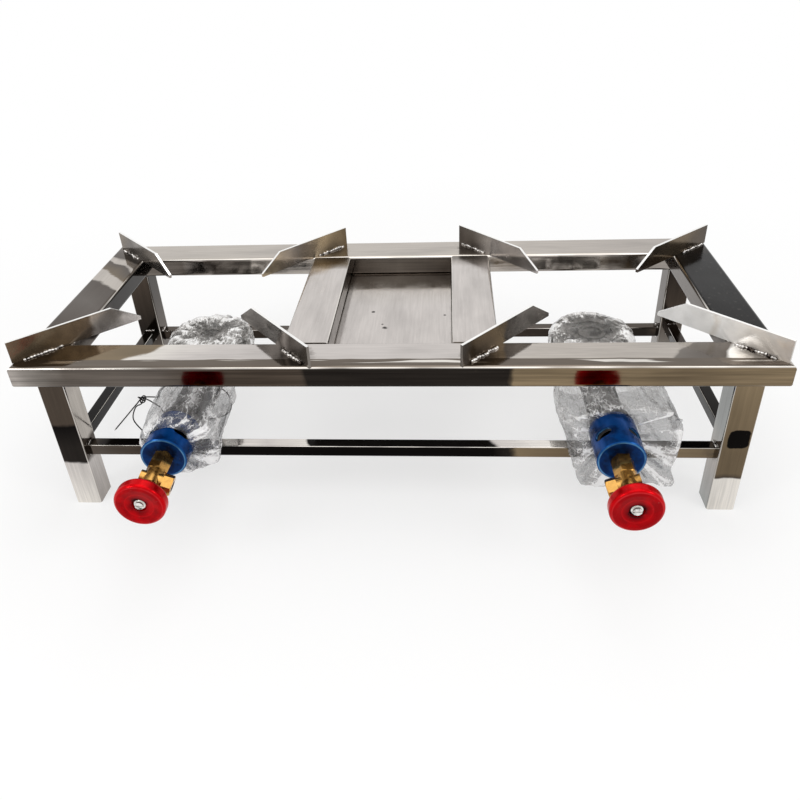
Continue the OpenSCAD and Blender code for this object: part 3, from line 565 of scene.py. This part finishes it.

# Pan supports: the painted reflections on each one's faces of what it mirrors, as (share from the tip to the
# outer end, tone)
supportLooks = {
    "left_front_outer_support": {
        "metal": 0.75, "along": [(0.0, "pale"), (0.24, "soft"), (0.38, "pale"), (0.42, "taupe"),
                                 (0.8, "olive"), (1.0, "brown")]},
    "left_front_inner_support": {
        "metal": 0.9, "along": [(0.0, "grey"), (0.3, "dim"), (0.5, "grey"), (0.6, "grey"), (0.64, "umber"),
                                (0.72, "soft"), (0.8, "umber"), (1.0, "grey")]},
    "left_back_outer_support": {
        "metal": 0.9, "along": [(0.0, "soft"), (0.35, "grey"), (0.6, "grey"), (0.75, "dim"), (1.0, "brown")]},
    "left_back_inner_support": {
        "metal": 0.8, "along": [(0.0, "sand"), (0.4, "soft"), (0.7, "sand"), (1.0, "olive")]},
    "right_front_outer_support": {
        "metal": 0.15, "along": [(0.0, "white"), (0.42, "white"), (0.45, "cream"), (0.5, "white"),
                                 (0.72, "cream"), (1.0, "shell")]},
    "right_front_inner_support": {
        "metal": 0.9, "along": [(0.0, "dim"), (0.35, "grey"), (0.5, "dim"), (0.55, "olive"), (0.9, "brown"),
                                (1.0, "grey")]},
    "right_back_outer_support": {
        "metal": 0.9, "along": [(0.0, "umber"), (0.4, "brown"), (0.7, "brown"), (1.0, "umber")]},
    "right_back_inner_support": {
        "metal": 0.8, "along": [(0.0, "pale"), (0.3, "soft"), (0.5, "pale"), (0.8, "grey"), (1.0, "dim")]},
}
# Lumps per metre of each noise in the supports
supportGrain = {"slow": 30.0, "reflectionClouds": 42.0, "dull": 70.0, "swell": 22.0}


def supportMaterial(name, look):
    material, tree, shader, coords = startMaterial(name + "Steel")
    spot = coords["Object"]
    form = supportForm
    tip, way = supportLine(name)
    # how far along the flat bar a point lies: (point - tip) . way
    reach = vectorOf("DOT_PRODUCT", spot, way)
    start = float(toFrame(tip) @ way)
    slow = times(centred(spot, supportGrain["slow"], 3.0), 0.030)
    along = plus(reach, slow)
    share = spread(along, start, start + form["length"] / 1000.0)
    colour = rampOf(share, [(p, tones[t]) for p, t in look["along"]])
    # painted reflection: soft cloudy patches of what is mirrored
    reflectionClouds = rampOf(noiseOf(spot, supportGrain["reflectionClouds"], 4.0), [(0.32, 0.78), (0.5, 1.0), (0.72, 1.14)])
    colour = mixColour(0.7, colour, reflectionClouds, "MULTIPLY")
    facing = addNode(tree, "SeparateXYZ", [(0, coords["Normal"])])
    # painted highlight: the faces turned up are painted white
    litFromAbove = spread(facing.outputs[2], 0.30, 0.5)
    colour = mixColour(litFromAbove, colour, tones["white"])
    burnt = nearPoint(spot, tuple(tip + way * form["heat"]), form["burntRadius"], times(slow, 20.0))
    colour = mixColour(times(burnt, form["burntShare"]), colour, tones["umber"])
    rough = spread(noiseOf(spot, supportGrain["dull"], 4.0), 0.3, 0.75, *form["rough"])
    swell = bumpOf(noiseOf(spot, supportGrain["swell"], 2.0), 0.2, 0.002)
    dress(shader, Base_Color=colour, Roughness=rough, Normal=swell, Metallic=look["metal"])
    return material


for nodeName, look in supportLooks.items():
    setMaterial([nodeName], supportMaterial(nodeName, look))
print("steel finished")

# Castings, brass and screws: what they are, the darker tone between, and how rough; on the brass the dark and
# light patches are painted reflections
finishes = {
    "cast": {"base": (112, 108, 104), "dark": (44, 41, 39), "rough": (0.38, 0.62),
             "metal": 0.75, "scale": 300.0, "bump": 0.5},
    "brass": {"base": (190, 144, 76), "dark": (112, 80, 35), "rough": (0.07, 0.2),
              "metal": 0.9, "scale": 190.0, "bump": 0.1},
    "brightScrew": {"base": (232, 230, 226), "dark": (48, 48, 44), "rough": (0.1, 0.3),
                    "metal": 1.0, "scale": 420.0, "bump": 0.1},
    "weldBead": {"base": (226, 222, 218), "dark": (70, 62, 56), "rough": (0.14, 0.34),
                 "metal": 1.0, "scale": 520.0, "bump": 0.35},
    "tieSteel": {"base": (58, 52, 48), "dark": (22, 20, 20), "rough": (0.35, 0.55),
                 "metal": 0.8, "scale": 300.0, "bump": 0.1},
}


def metalMaterial(name, look):
    material, _, shader, coords = startMaterial(name)
    spot = coords["Object"]
    grain = noiseOf(spot, look["scale"], 5.0, rough=0.65)
    broad = noiseOf(spot, look["scale"] / 4.0, 3.0)
    # patches of the darker tone: painted reflections on the brass, tone that varies on the others
    wornAndReflected = rampOf(broad, [(0.40, look["dark"]), (0.54, look["base"]), (0.8, look["base"])])
    colour = mixColour(0.6, wornAndReflected, rampOf(grain, [(0.3, 0.6), (0.6, 1.1)]), "MULTIPLY")
    dress(shader, Base_Color=colour, Roughness=spread(grain, 0.3, 0.7, *look["rough"]),
          Normal=bumpOf(grain, look["bump"], 0.0006), Metallic=look["metal"])
    return material


# Painted turning pieces: painted shade and painted highlights at radii from the axis on the front face, in
# millimetres: a dark hollow in the middle, light rims
paints = {
    "shutterBlue": {
        "base": (6, 64, 130), "low": (3, 32, 74), "rough": 0.15, "metal": 0.45, "scale": 55.0,
        "front": [(0.0, (3, 12, 34)), (16.0, (4, 20, 52)), (21.8, (6, 38, 86)), (22.7, (98, 150, 192)),
                  (23.8, (20, 76, 132)), (24.5, (6, 64, 126))],
    },
    "wheelRed": {
        "base": (198, 2, 12), "low": (150, 1, 8), "rough": 0.14, "metal": 0.55, "scale": 40.0,
        "front": [(0.0, (20, 1, 3)), (7.6, (30, 1, 4)), (10.0, (118, 1, 8)), (13.4, (158, 1, 9)),
                  (14.2, (178, 16, 22)), (15.0, (142, 1, 8)), (22.2, (152, 1, 9)), (23.1, (196, 44, 48)),
                  (24.0, (184, 4, 12)), (25.5, (198, 2, 12))],
    },
}
# Lumps per metre of each noise in the paint
paintGrain = {"broken": 90.0, "dust": 700.0, "dull": 120.0, "swell": 200.0}


def paintMaterial(name, look, sideX):
    material, tree, shader, coords = startMaterial(name)
    spot = coords["Object"]
    broad = noiseOf(spot, look["scale"], 3.0)
    colour = rampOf(broad, [(0.34, look["low"]), (0.55, look["base"]), (0.8, look["base"])])
    # distance from the piece's own axis: the length of (x - axis x, z - axis z)
    flat = addNode(tree, "VectorMath", [(0, spot)], operation="MULTIPLY")
    flat.inputs[1].default_value = (1.0, 0.0, 1.0)
    axis = (sideX * place["burnerX"] / 1000.0, 0.0, place["tubeZ"] / 1000.0)
    away = vectorOf("DISTANCE", flat.outputs[0], axis)
    last = look["front"][-1][0]
    # painted shade and painted highlights in rings on the front face
    ring = rampOf(spread(away, 0.0, last / 1000.0),
                  [(radius / last, tone) for radius, tone in look["front"]])
    facing = addNode(tree, "SeparateXYZ", [(0, coords["Normal"])])
    forward = spread(facing.outputs[1], -0.25, -0.55)
    broken = rampOf(noiseOf(spot, paintGrain["broken"], 2.0), [(0.35, 0.45), (0.6, 1.0)])
    colour = mixColour(times(forward, broken), colour, ring)
    dust = rampOf(noiseOf(spot, paintGrain["dust"], 2.0), [(0.72, 0.0), (0.78, 0.3)])
    colour = mixColour(dust, colour, tones["soft"])
    rough = spread(noiseOf(spot, paintGrain["dull"], 3.0), 0.3, 0.7, look["rough"], look["rough"] + 0.12)
    swell = bumpOf(noiseOf(spot, paintGrain["swell"], 2.0), 0.10, 0.0006)
    dress(shader, Base_Color=colour, Roughness=rough, Normal=swell, Metallic=look["metal"],
          Coat_Weight=0.04, Coat_Roughness=0.06, Specular_IOR_Level=0.04)
    return material


castIron, brass, brightScrew, weldBead, tieSteel = (metalMaterial(name, look) for name, look in finishes.items())
for side, sideX in (("left_", -1), ("right_", 1)):
    setMaterial([side + n for n in ("burner_bowl", "burner_top", "mixing_tube", "mixer_head")], castIron)
    setMaterial([side + n for n in ("gas_jet", "valve_body", "inlet_adapter", "bonnet_nut", "spindle")], brass)
    setMaterial([side + n for n in ("wheel_screw", "burner_bolt")], brightScrew)
    setMaterial([side + "air_shutter"], paintMaterial(side + "shutterBlue", paints["shutterBlue"], sideX))
    setMaterial([side + "handwheel"], paintMaterial(side + "wheelRed", paints["wheelRed"], sideX))
print("castings, brass and paint finished")


def newPiece(name, points, faces, material, stands):
    # a smooth mesh in metres that rides on the stand
    mesh = bpy.data.meshes.new(name)
    mesh.from_pydata(points.reshape(-1, 3).tolist(), [], faces.tolist())
    mesh.shade_smooth()
    mesh.materials.append(material)
    piece = bpy.data.objects.new(name, mesh)
    bpy.context.scene.collection.objects.link(piece)
    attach(piece, "stand")
    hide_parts(stands)
    return piece


def closeAndTurnOut(piece):
    # points on one another are merged, then every face looks outwards
    work = bmesh.new()
    work.from_mesh(piece.data)
    bmesh.ops.remove_doubles(work, verts=work.verts, dist=1e-6)
    bmesh.ops.recalc_face_normals(work, faces=work.faces)
    work.to_mesh(piece.data)
    work.free()


def quadsOf(rows, columns, closeRows=False, closeColumns=False):
    # the corners of each cell of a grid, rows by columns
    index = np.arange(rows * columns).reshape(rows, columns)
    if closeRows:
        index = np.vstack([index, index[:1]])
    if closeColumns:
        index = np.hstack([index, index[:, :1]])
    return np.stack([index[:-1, :-1], index[1:, :-1], index[1:, 1:], index[:-1, 1:]], -1).reshape(-1, 4)


# Weld beads: size of one bead along, across and up, the step between them, and their scatter
beadForm = {"size": (2.3, 1.9, 1.6), "step": 3.2, "scatter": 0.5, "around": 8, "up": 5, "seed": 5}
barBeads = {**beadForm, "size": (1.75, 1.35, 1.1), "step": 2.7}
# Where the bars meet the legs, how far the beads stand off them, and how high each side bar is
barEnds = {"x": 350.0, "barY": (24.0, 285.5), "midZ": 73.5, "half": 7.0, "run": 5.0, "off": 0.7, "over": 0.5,
           "sideX": 365.0, "sideY": (39.0, 270.5), "lift": {-1: 5.5, 1: 10.5}}


def beadRow(start, end, form, chance):
    # the middles of the beads between two points, and the direction of the row
    start, end = np.array(start, float), np.array(end, float)
    length = np.linalg.norm(end - start)
    count = int(round(length / form["step"])) + 1
    share = np.linspace(0.0, 1.0, count)[:, None]
    middles = start + share * (end - start) + chance.normal(0.0, form["scatter"], (count, 3)) * [1, 1, 0.5]
    return middles, np.tile((end - start) / length, (count, 1))


def weldBeads(name, rows, form, stands):
    # ellipsoid(a, b) = (long cos b cos a, wide cos b sin a, high sin b), turned along its row
    chance = np.random.default_rng(form["seed"])
    middles, ways = (np.vstack(part) for part in zip(*(beadRow(*row, form, chance) for row in rows)))
    a = np.linspace(0.0, 2 * np.pi, form["around"], endpoint=False)[:, None]
    b = np.linspace(-np.pi / 2, np.pi / 2, form["up"])[None, :]
    ball = np.stack([np.cos(b) * np.cos(a), np.cos(b) * np.sin(a), np.sin(b) + 0 * a], -1)
    swell = chance.uniform(0.8, 1.25, (len(middles), 1, 1, 3)) * np.array(form["size"])
    shapes = ball[None] * swell
    sideways = np.cross(ways, [0.0, 0.0, 1.0])
    turned = (shapes[..., :1] * ways[:, None, None, :] - shapes[..., 1:2] * sideways[:, None, None, :]
              + shapes[..., 2:] * np.array([0.0, 0.0, 1.0]))
    points = toFrame(middles[:, None, None, :] + turned)
    one = quadsOf(form["around"], form["up"], closeRows=True)
    faces = (one[None] + np.arange(len(middles))[:, None, None] * form["around"] * form["up"]).reshape(-1, 4)
    closeAndTurnOut(newPiece(name, points, faces, weldBead, stands))


footRows = []
for supportName in supportPlaces:
    tip, way = supportLine(supportName)
    across = np.array([-way[1], way[0], 0.0])
    for face in (-1, 1):
        off = face * (supportForm["half"] + supportForm["beadOff"])
        beside = tip + across * off + [0.0, 0.0, supportForm["beadUp"]]
        footRows.append([beside + way * end for end in supportForm["weld"]])
weldBeads("supportWeldBeads", footRows, beadForm, "support_welds")
endRows = []
for side in (-1, 1):
    for up in (-1, 1):
        z = barEnds["midZ"] + up * (barEnds["half"] + barEnds["over"])
        for y in barEnds["barY"]:
            x = side * (barEnds["x"] - barEnds["off"])
            endRows.append(((x, y - barEnds["run"], z), (x, y + barEnds["run"], z)))
        for y, inward in zip(barEnds["sideY"], (1, -1)):
            x, beside, lifted = side * barEnds["sideX"], y + inward * barEnds["off"], z + barEnds["lift"][side]
            endRows.append(((x - barEnds["run"], beside, lifted), (x + barEnds["run"], beside, lifted)))
weldBeads("barWeldBeads", endRows, barBeads, "bar_welds")
print("weld beads made")

# Tie wire: shares of the film's half width from the left tube axis, the turn round the film
# between the two ends, and the twist where they cross
wireForm = {
    "half": 46.0, "y": 62.0, "radius": 0.75, "sides": 8, "smooth": 6,
    "ring": 42.0, "ringShift": 3.2, "ringRun": -2.4, "ringSteps": 40, "power": 2.6,
    "lift": 1.0, "up": 26.0, "down": 24.5,
    "end": [(-2.27, 0.0, -0.95), (-1.85, 0.0, -0.5), (-1.48, 0.0, -0.1), (-1.24, 0.0, 0.12)],
    "otherEnd": [(-1.17, -0.08, 0.14), (-1.30, -0.08, -0.02), (-1.48, -0.08, -0.14), (-1.62, -0.08, -0.52),
                 (-1.43, -0.08, -0.94)],
    "knot": (-1.26, -0.04, 0.10), "knotSize": 1.7, "knotSteps": 60,
}


def tubeAlong(path, radius, sides, closed=False):
    # circle(a) carried along the path: point + radius (cos a u + sin a v), u and v square to it
    if closed:
        along = np.roll(path, -1, 0) - np.roll(path, 1, 0)
    else:
        along = np.gradient(path, axis=0)
    along /= np.linalg.norm(along, axis=1, keepdims=True)
    u = np.cross(along, [0.13, 0.97, 0.2])
    u /= np.linalg.norm(u, axis=1, keepdims=True)
    v = np.cross(u, along)
    a = np.linspace(0.0, 2 * np.pi, sides, endpoint=False)[None, :, None]
    ring = path[:, None, :] + radius * (np.cos(a) * u[:, None, :] + np.sin(a) * v[:, None, :])
    if not closed:  # the ends drawn in to a point
        ring[0], ring[-1] = path[0], path[-1]
    return ring, quadsOf(len(path), sides, closeRows=closed, closeColumns=True)


def smoothPath(points, steps):
    # Catmull-Rom through the points: a cubic on each span from its two neighbours
    p = np.vstack([2 * points[0] - points[1], points, 2 * points[-1] - points[-2]])
    t = (np.arange(steps) / steps)[None, :, None]
    a, b, c, d = (p[k:len(p) - 3 + k][:, None, :] for k in range(4))
    spans = 0.5 * (2 * b + (c - a) * t + (2 * a - 5 * b + 4 * c - d) * t**2 + (3 * b - a - 3 * c + d) * t**3)
    return np.vstack([spans.reshape(-1, 3), points[-1:]])


def tieWire(form):
    # ring(a) = (w sign(cos a) |cos a|^(2/p), a little along y, h sign(sin a) |sin a|^(2/p))
    turn = np.radians(np.linspace(180.0, -180.0, form["ringSteps"]))
    power = 2.0 / form["power"]
    c, s = np.cos(turn), np.sin(turn)
    ring = np.stack([(form["ring"] + form["lift"]) * np.sign(c) * np.abs(c) ** power + form["ringShift"],
                     np.linspace(0.0, form["ringRun"], len(turn)),
                     np.where(s > 0, form["up"], form["down"]) * np.sign(s) * np.abs(s) ** power], -1)
    first, last = (np.array(form[key]) * form["half"] for key in ("end", "otherEnd"))
    middle = np.array([-place["burnerX"], form["y"], place["tubeZ"]])
    path = smoothPath(np.vstack([first, ring[1:-1], last]), form["smooth"]) + middle
    points, faces = tubeAlong(path, form["radius"], form["sides"])
    # the twist is a trefoil: (sin t + 2 sin 2t, cos t - 2 cos 2t, -sin 3t)
    t = np.linspace(0.0, 2 * np.pi, form["knotSteps"], endpoint=False)
    twist = np.stack([np.sin(t) + 2 * np.sin(2 * t), -np.sin(3 * t), np.cos(t) - 2 * np.cos(2 * t)], -1)
    knot = twist * form["knotSize"] + np.array(form["knot"]) * form["half"] + middle
    more, moreFaces = tubeAlong(knot, form["radius"], form["sides"], closed=True)
    flat = points.reshape(-1, 3)
    every = np.vstack([flat, more.reshape(-1, 3)])
    closeAndTurnOut(newPiece("tieWireTwisted", toFrame(every), np.vstack([faces, moreFaces + len(flat)]),
                             tieSteel, "tie_wire"))


tieWire(wireForm)
print("tie wire made")


def latticeNoise(u, v, cells, seed):
    # smooth noise from -1 to 1 on shares u (it wraps round) and v: a random lattice with the
    # blend t t (3 - 2 t) between its corners
    countU, countV = cells
    lattice = np.random.default_rng(seed).uniform(-1, 1, (countU, countV + 2))
    a, b = u * countU, np.clip(v, 0, 1) * countV
    i, j = np.floor(a).astype(int), np.floor(b).astype(int)
    s, t = a - i, b - j
    s, t = s * s * (3 - 2 * s), t * t * (3 - 2 * t)
    i0, i1, j1 = i % countU, (i + 1) % countU, np.minimum(j + 1, countV + 1)
    near = lattice[i0, j] * (1 - s) + lattice[i1, j] * s
    far = lattice[i0, j1] * (1 - s) + lattice[i1, j1] * s
    return near * (1 - t) + far * t


def creases(u, v, layers, seed):
    # sharp folds: the sum over the layers of size (1 - 2 |noise|)
    return sum(size * (1 - 2 * np.abs(latticeNoise(u, v, cells, seed + extra))) for cells, size, extra in layers)


# Painted shade in the hollow of a fold and painted highlight on its ridge: tone from the bottom of a fold to its
# ridge, then how much it hides
filmShadeAndHighlight = {
    "tubeFilm": {
        "tone": [(0.0, (26, 30, 48)), (0.12, (74, 76, 88)), (0.26, (120, 120, 124)), (0.5, (150, 149, 150)),
                 (0.66, (204, 203, 203)), (0.82, (248, 247, 248)), (1.0, (255, 255, 255))],
        "hide": [(0.0, 0.52), (0.2, 0.19), (0.5, 0.2), (0.68, 0.42), (0.85, 0.8)],
        "crumple": 0.8, "lines": 0.3, "bump": 0.5,
    },
    "looseFilm": {
        "tone": [(0.0, (34, 38, 50)), (0.12, (80, 82, 88)), (0.26, (116, 116, 117)), (0.5, (140, 139, 138)),
                 (0.68, (192, 191, 190)), (0.84, (244, 243, 243)), (1.0, (255, 255, 255))],
        "hide": [(0.0, 0.44), (0.2, 0.19), (0.5, 0.19), (0.66, 0.36), (0.86, 0.76)],
        "crumple": 0.6, "lines": 0.24, "bump": 0.45,
    },
    "capFilm": {
        "tone": [(0.0, (64, 61, 58)), (0.3, (146, 143, 139)), (0.6, (204, 201, 197)), (0.8, (246, 244, 242)),
                 (1.0, (255, 255, 255))],
        "hide": [(0.0, 0.2), (0.45, 0.16), (0.65, 0.32), (0.85, 0.78)],
        "crumple": 0.8, "lines": 0.3, "bump": 0.4,
    },
}
# Lumps per metre of the crumples, and of the two noises that the thin creases follow
filmGrain = {
    "crumple": (120.0, (1.0, 0.5, 1.0)),
    "creases": [(46.0, (1.0, 0.45, 1.0)), (96.0, (1.0, 0.6, 0.8))],
}


def filmMaterial(name, look):
    # thin clear sheet: nearly clear with painted shade in its hollows, milky with painted highlights on its
    # ridges
    material, tree, shader, coords = startMaterial(name)
    spot = coords["Object"]
    fold = addNode(tree, "Attribute", attribute_name="fold").outputs["Fac"]
    scale, stretch = filmGrain["crumple"]
    crumple = noiseOf(spot, scale, 4.0, stretch, 0.62)
    # thin creases lie where a drawn-out noise passes its middle, |noise - 0.5| near 0
    lines = [mathOf("ABSOLUTE", mathOf("SUBTRACT", noiseOf(spot, scale, 3.0, stretch), 0.5))
             for scale, stretch in filmGrain["creases"]]
    line = mathOf("MINIMUM", *lines)
    # painted highlights along the thin creases
    sharp = spread(line, 0.0, 0.017, look["lines"], 0.0)
    rumpled = times(mathOf("SUBTRACT", crumple, 0.5), look["crumple"])
    depth = mathOf("ADD", plus(fold, sharp), rumpled, clamp=True)
    creased = bumpOf(line, 0.6, 0.004)
    dress(shader, Base_Color=rampOf(depth, look["tone"]), Alpha=rampOf(depth, look["hide"]),
          Normal=bumpOf(crumple, look["bump"], 0.003, creased), Roughness=0.10, Specular_IOR_Level=0.7,
          Coat_Weight=0.5, Coat_Roughness=0.05)
    return material


filmSheets = {name: filmMaterial(name, look) for name, look in filmShadeAndHighlight.items()}


def filmPiece(name, points, fold, contrast, material, wall):
    # the sheet with its own fold depth kept on the points, from 0 in a hollow to 1 on a ridge,
    # drawn towards the middle where the contrast is low
    piece = newPiece(name + "Crumpled", toFrame(points), quadsOf(*points.shape[:2], closeRows=True), material,
                     name)
    low, high = np.percentile(fold, (2, 98))
    kept = piece.data.attributes.new("fold", "FLOAT", "POINT")
    depth = np.clip((fold - low) / (high - low), 0.0, 1.0)
    kept.data.foreach_set("value", (0.5 + (depth - 0.5) * contrast).ravel())
    thick = piece.modifiers.new("wall", "SOLIDIFY")
    thick.thickness, thick.offset = wall / 1000.0, 0.0
    return piece


# Films along the mixing tubes: half width, drop below the tube, shift outwards, the mouth's place
# and its flaps as (degrees round the tube, width in degrees, reach)
filmLooks = {
    "left_tube_film": {
        "sideX": -1, "sheet": "tubeFilm", "half": 41.5, "drop": 14.0, "shift": 8.0, "mouth": -22.0,
        "seed": 11, "ragged": 3.0, "power": 2.6, "flaps": [(-38.0, 13.0, 7.0), (-4.0, 10.0, 4.0)],
    },
    "right_tube_film": {
        "sideX": 1, "sheet": "looseFilm", "half": 57.0, "drop": 45.0, "shift": 16.0, "mouth": 4.0,
        "seed": 29, "ragged": 2.0, "power": 3.6,
        "flaps": [(-50.0, 13.0, 32.0), (-125.0, 12.0, 17.0), (-90.0, 26.0, 12.0)],
    },
}
filmForm = {
    # along the film: share, half width, how much of the drop, how much of the shift
    "stations": [(0.0, 0.84, 0.94, 1.0), (0.25, 0.92, 1.0, 1.0), (0.5, 0.94, 0.93, 0.9), (0.8, 0.96, 0.62, 0.7),
                 (1.0, 0.98, 0.0, 0.6), (1.3, 1.0, 0.0, 0.5), (1.65, 0.97, 0.0, 0.4), (2.0, 0.80, 0.0, 0.2)],
    "lipY": 14.0, "endY": 110.0, "up": 25.9, "down": 22.6,
    "gather": 0.24,      # share of the rows that spread from the shutter out to the full width
    "around": 300, "along": 160, "wall": 0.16,
    "layers": [((11, 2), 2.6, 1), ((23, 3), 1.9, 2), ((43, 6), 1.1, 3), ((83, 14), 0.55, 4)],
    "pleats": [((31, 5), 1.1, 6), ((57, 9), 0.6, 7)],
    "keepOut": 25.2,     # the shutter's radius and a little more
    "neckFloor": -25.6,  # behind the lip the film stays above this height from the tube's axis
    "wander": 0.10, "foldOut": 0.8, "foldAtShutter": 0.15,
}


def tubeFilm(name, look, form):
    # ring(a) = (w sign(cos a) |cos a|^(2/p), h sign(sin a) |sin a|^(2/p)), spread from the
    # shutter's circle to its full width, carried along y, then pushed outwards by the folds
    t = np.linspace(0.0, 2.0, form["along"])
    u = np.arange(form["around"]) / form["around"]
    share, *columns = zip(*form["stations"])
    halfWidth, dropAt, shiftAt = (np.interp(t, share, column) for column in columns)
    uu, tt = np.meshgrid(u, t, indexing="ij")
    vv = tt / 2.0
    seed = look["seed"]
    gathered = np.clip(tt / (2 * form["gather"]), 0.0, 1.0)
    opened = np.sqrt(1 - (1 - gathered) ** 2)
    fold = creases(uu, vv, form["layers"], seed)
    pleats = creases(uu, vv, form["pleats"], seed) * np.clip(1.3 - tt / 0.7, 0.0, 1.0)
    angle = 2 * np.pi * uu + form["wander"] * latticeNoise(uu, vv, (7, 6), seed + 9)
    c, s = np.cos(angle), np.sin(angle)
    half = look["half"] * halfWidth[None, :]
    height = np.where(s > 0, form["up"], form["down"] + look["drop"] * dropAt[None, :])
    power = 2.0 / look["power"]
    x = half * np.sign(c) * np.abs(c) ** power + look["shift"] * shiftAt[None, :]
    z = height * np.sign(s) * np.abs(s) ** power
    radius = np.maximum(np.hypot(x, z), 1e-6)
    for middle, wide, extra in look["flaps"]:
        off = (np.degrees(angle) - middle + 180.0) % 360.0 - 180.0
        further = extra * np.exp(-(off / wide) ** 2) * np.clip(1 - tt / 0.9, 0, 1)
        x, z = x * (1 + further / radius), z * (1 + further / radius)
    radius = np.maximum(np.hypot(x, z), 1e-6)
    grown = form["keepOut"] + (np.maximum(radius, form["keepOut"]) - form["keepOut"]) * opened
    least = form["foldAtShutter"]
    grown = grown + (fold + 1.6) * form["foldOut"] * (least + (1 - least) * opened)
    grown = np.maximum(grown, form["keepOut"])
    x, z = x / radius * grown, z / radius * grown
    mouth = look["mouth"] + look["ragged"] * latticeNoise(uu, vv * 0, (13, 1), seed + 5)
    lip = form["lipY"]
    depth = np.where(tt < 1, mouth + tt * (lip - mouth), lip + (tt - 1) * (form["endY"] - lip))
    y = depth - (pleats + 1.5) * 1.5 * np.sin(np.pi * np.clip(tt / 0.7, 0, 1))
    z = np.where(y > lip - 1.5, np.maximum(z, form["neckFloor"]), z)
    points = np.stack([look["sideX"] * place["burnerX"] + x, y, place["tubeZ"] + z], -1)
    # the contrast scales the painted shade and highlights of the folds
    contrast = 0.5 + 0.5 * np.clip(1.25 - tt / 0.6, 0.0, 1.0)  # the gathered end shows its folds most
    filmPiece(name, points, fold + 0.7 * pleats, contrast, filmSheets[look["sheet"]], form["wall"])


for filmName, look in filmLooks.items():
    tubeFilm(filmName, look, filmForm)

capForm = {
    "radius": 48.4, "top": 145.2, "skirt": 27.0, "round": 7.0, "rings": 130, "around": 300, "wall": 0.16,
    "layers": [((17, 3), 1.2, 1), ((37, 7), 0.8, 2), ((80, 16), 0.4, 3)],
    "notchHalf": 25.0, "notchZ": 132.8, "notchFoot": 110.0, "hem": 1.5,
}
capLooks = {
    "left_head_film": {"sideX": -1, "seed": 41, "fold": 1.3, "calm": 0.0},
    "right_head_film": {"sideX": 1, "seed": 57, "fold": 1.0, "calm": 0.75},
}


def headFilm(name, look, form):
    # a disc, a quarter round at its edge and a skirt: radius and height along the profile's own
    # length, then folds that grow from the middle outwards
    flat = form["radius"] - form["round"]
    bend = form["round"] * np.pi / 2
    length = flat + bend + form["skirt"] - form["round"]
    d = np.linspace(0.0, 1.0, form["rings"]) * length
    turn = np.clip((d - flat) / form["round"], 0.0, np.pi / 2)
    radius = np.minimum(d, flat) + form["round"] * np.sin(turn)
    height = form["top"] - form["round"] * (1 - np.cos(turn)) - np.maximum(d - flat - bend, 0.0)
    u = np.arange(form["around"]) / form["around"]
    uu, dd = np.meshgrid(u, d / length, indexing="ij")
    calm = 1 - look["calm"] * np.clip(1.25 - dd * 2.0, 0.0, 1.0)
    fold = (creases(uu, dd, form["layers"], look["seed"]) + 1.6) * look["fold"]
    fold = fold * np.clip(dd * 2.2, 0.0, 1.0) * calm
    angle = 2 * np.pi * uu
    level = np.clip((d - flat) / bend, 0.0, 1.0)[None, :]
    radiusAt = radius[None, :] + fold * level + 0 * uu
    z = height[None, :] + fold * (1 - level)
    z[:, -1] += form["hem"] * latticeNoise(u, u * 0, (19, 1), look["seed"] + 7)
    x, y = radiusAt * np.cos(angle), radiusAt * np.sin(angle)
    # the skirt rides up over the neck at the front
    foot = form["notchFoot"]
    over = (np.abs(x) < form["notchHalf"]) & (y < 0)
    lift = np.sqrt(np.clip(1 - (x / form["notchHalf"]) ** 2, 0, 1)) * (form["notchZ"] - foot) + foot
    z = np.where(over, np.maximum(z, lift), z)
    points = np.stack([look["sideX"] * place["burnerX"] + x, place["burnerY"] + y, z], -1)
    filmPiece(name, points, fold, 0.8, filmSheets["capFilm"], form["wall"])


for capName, look in capLooks.items():
    headFilm(capName, look, capForm)
print("film made")
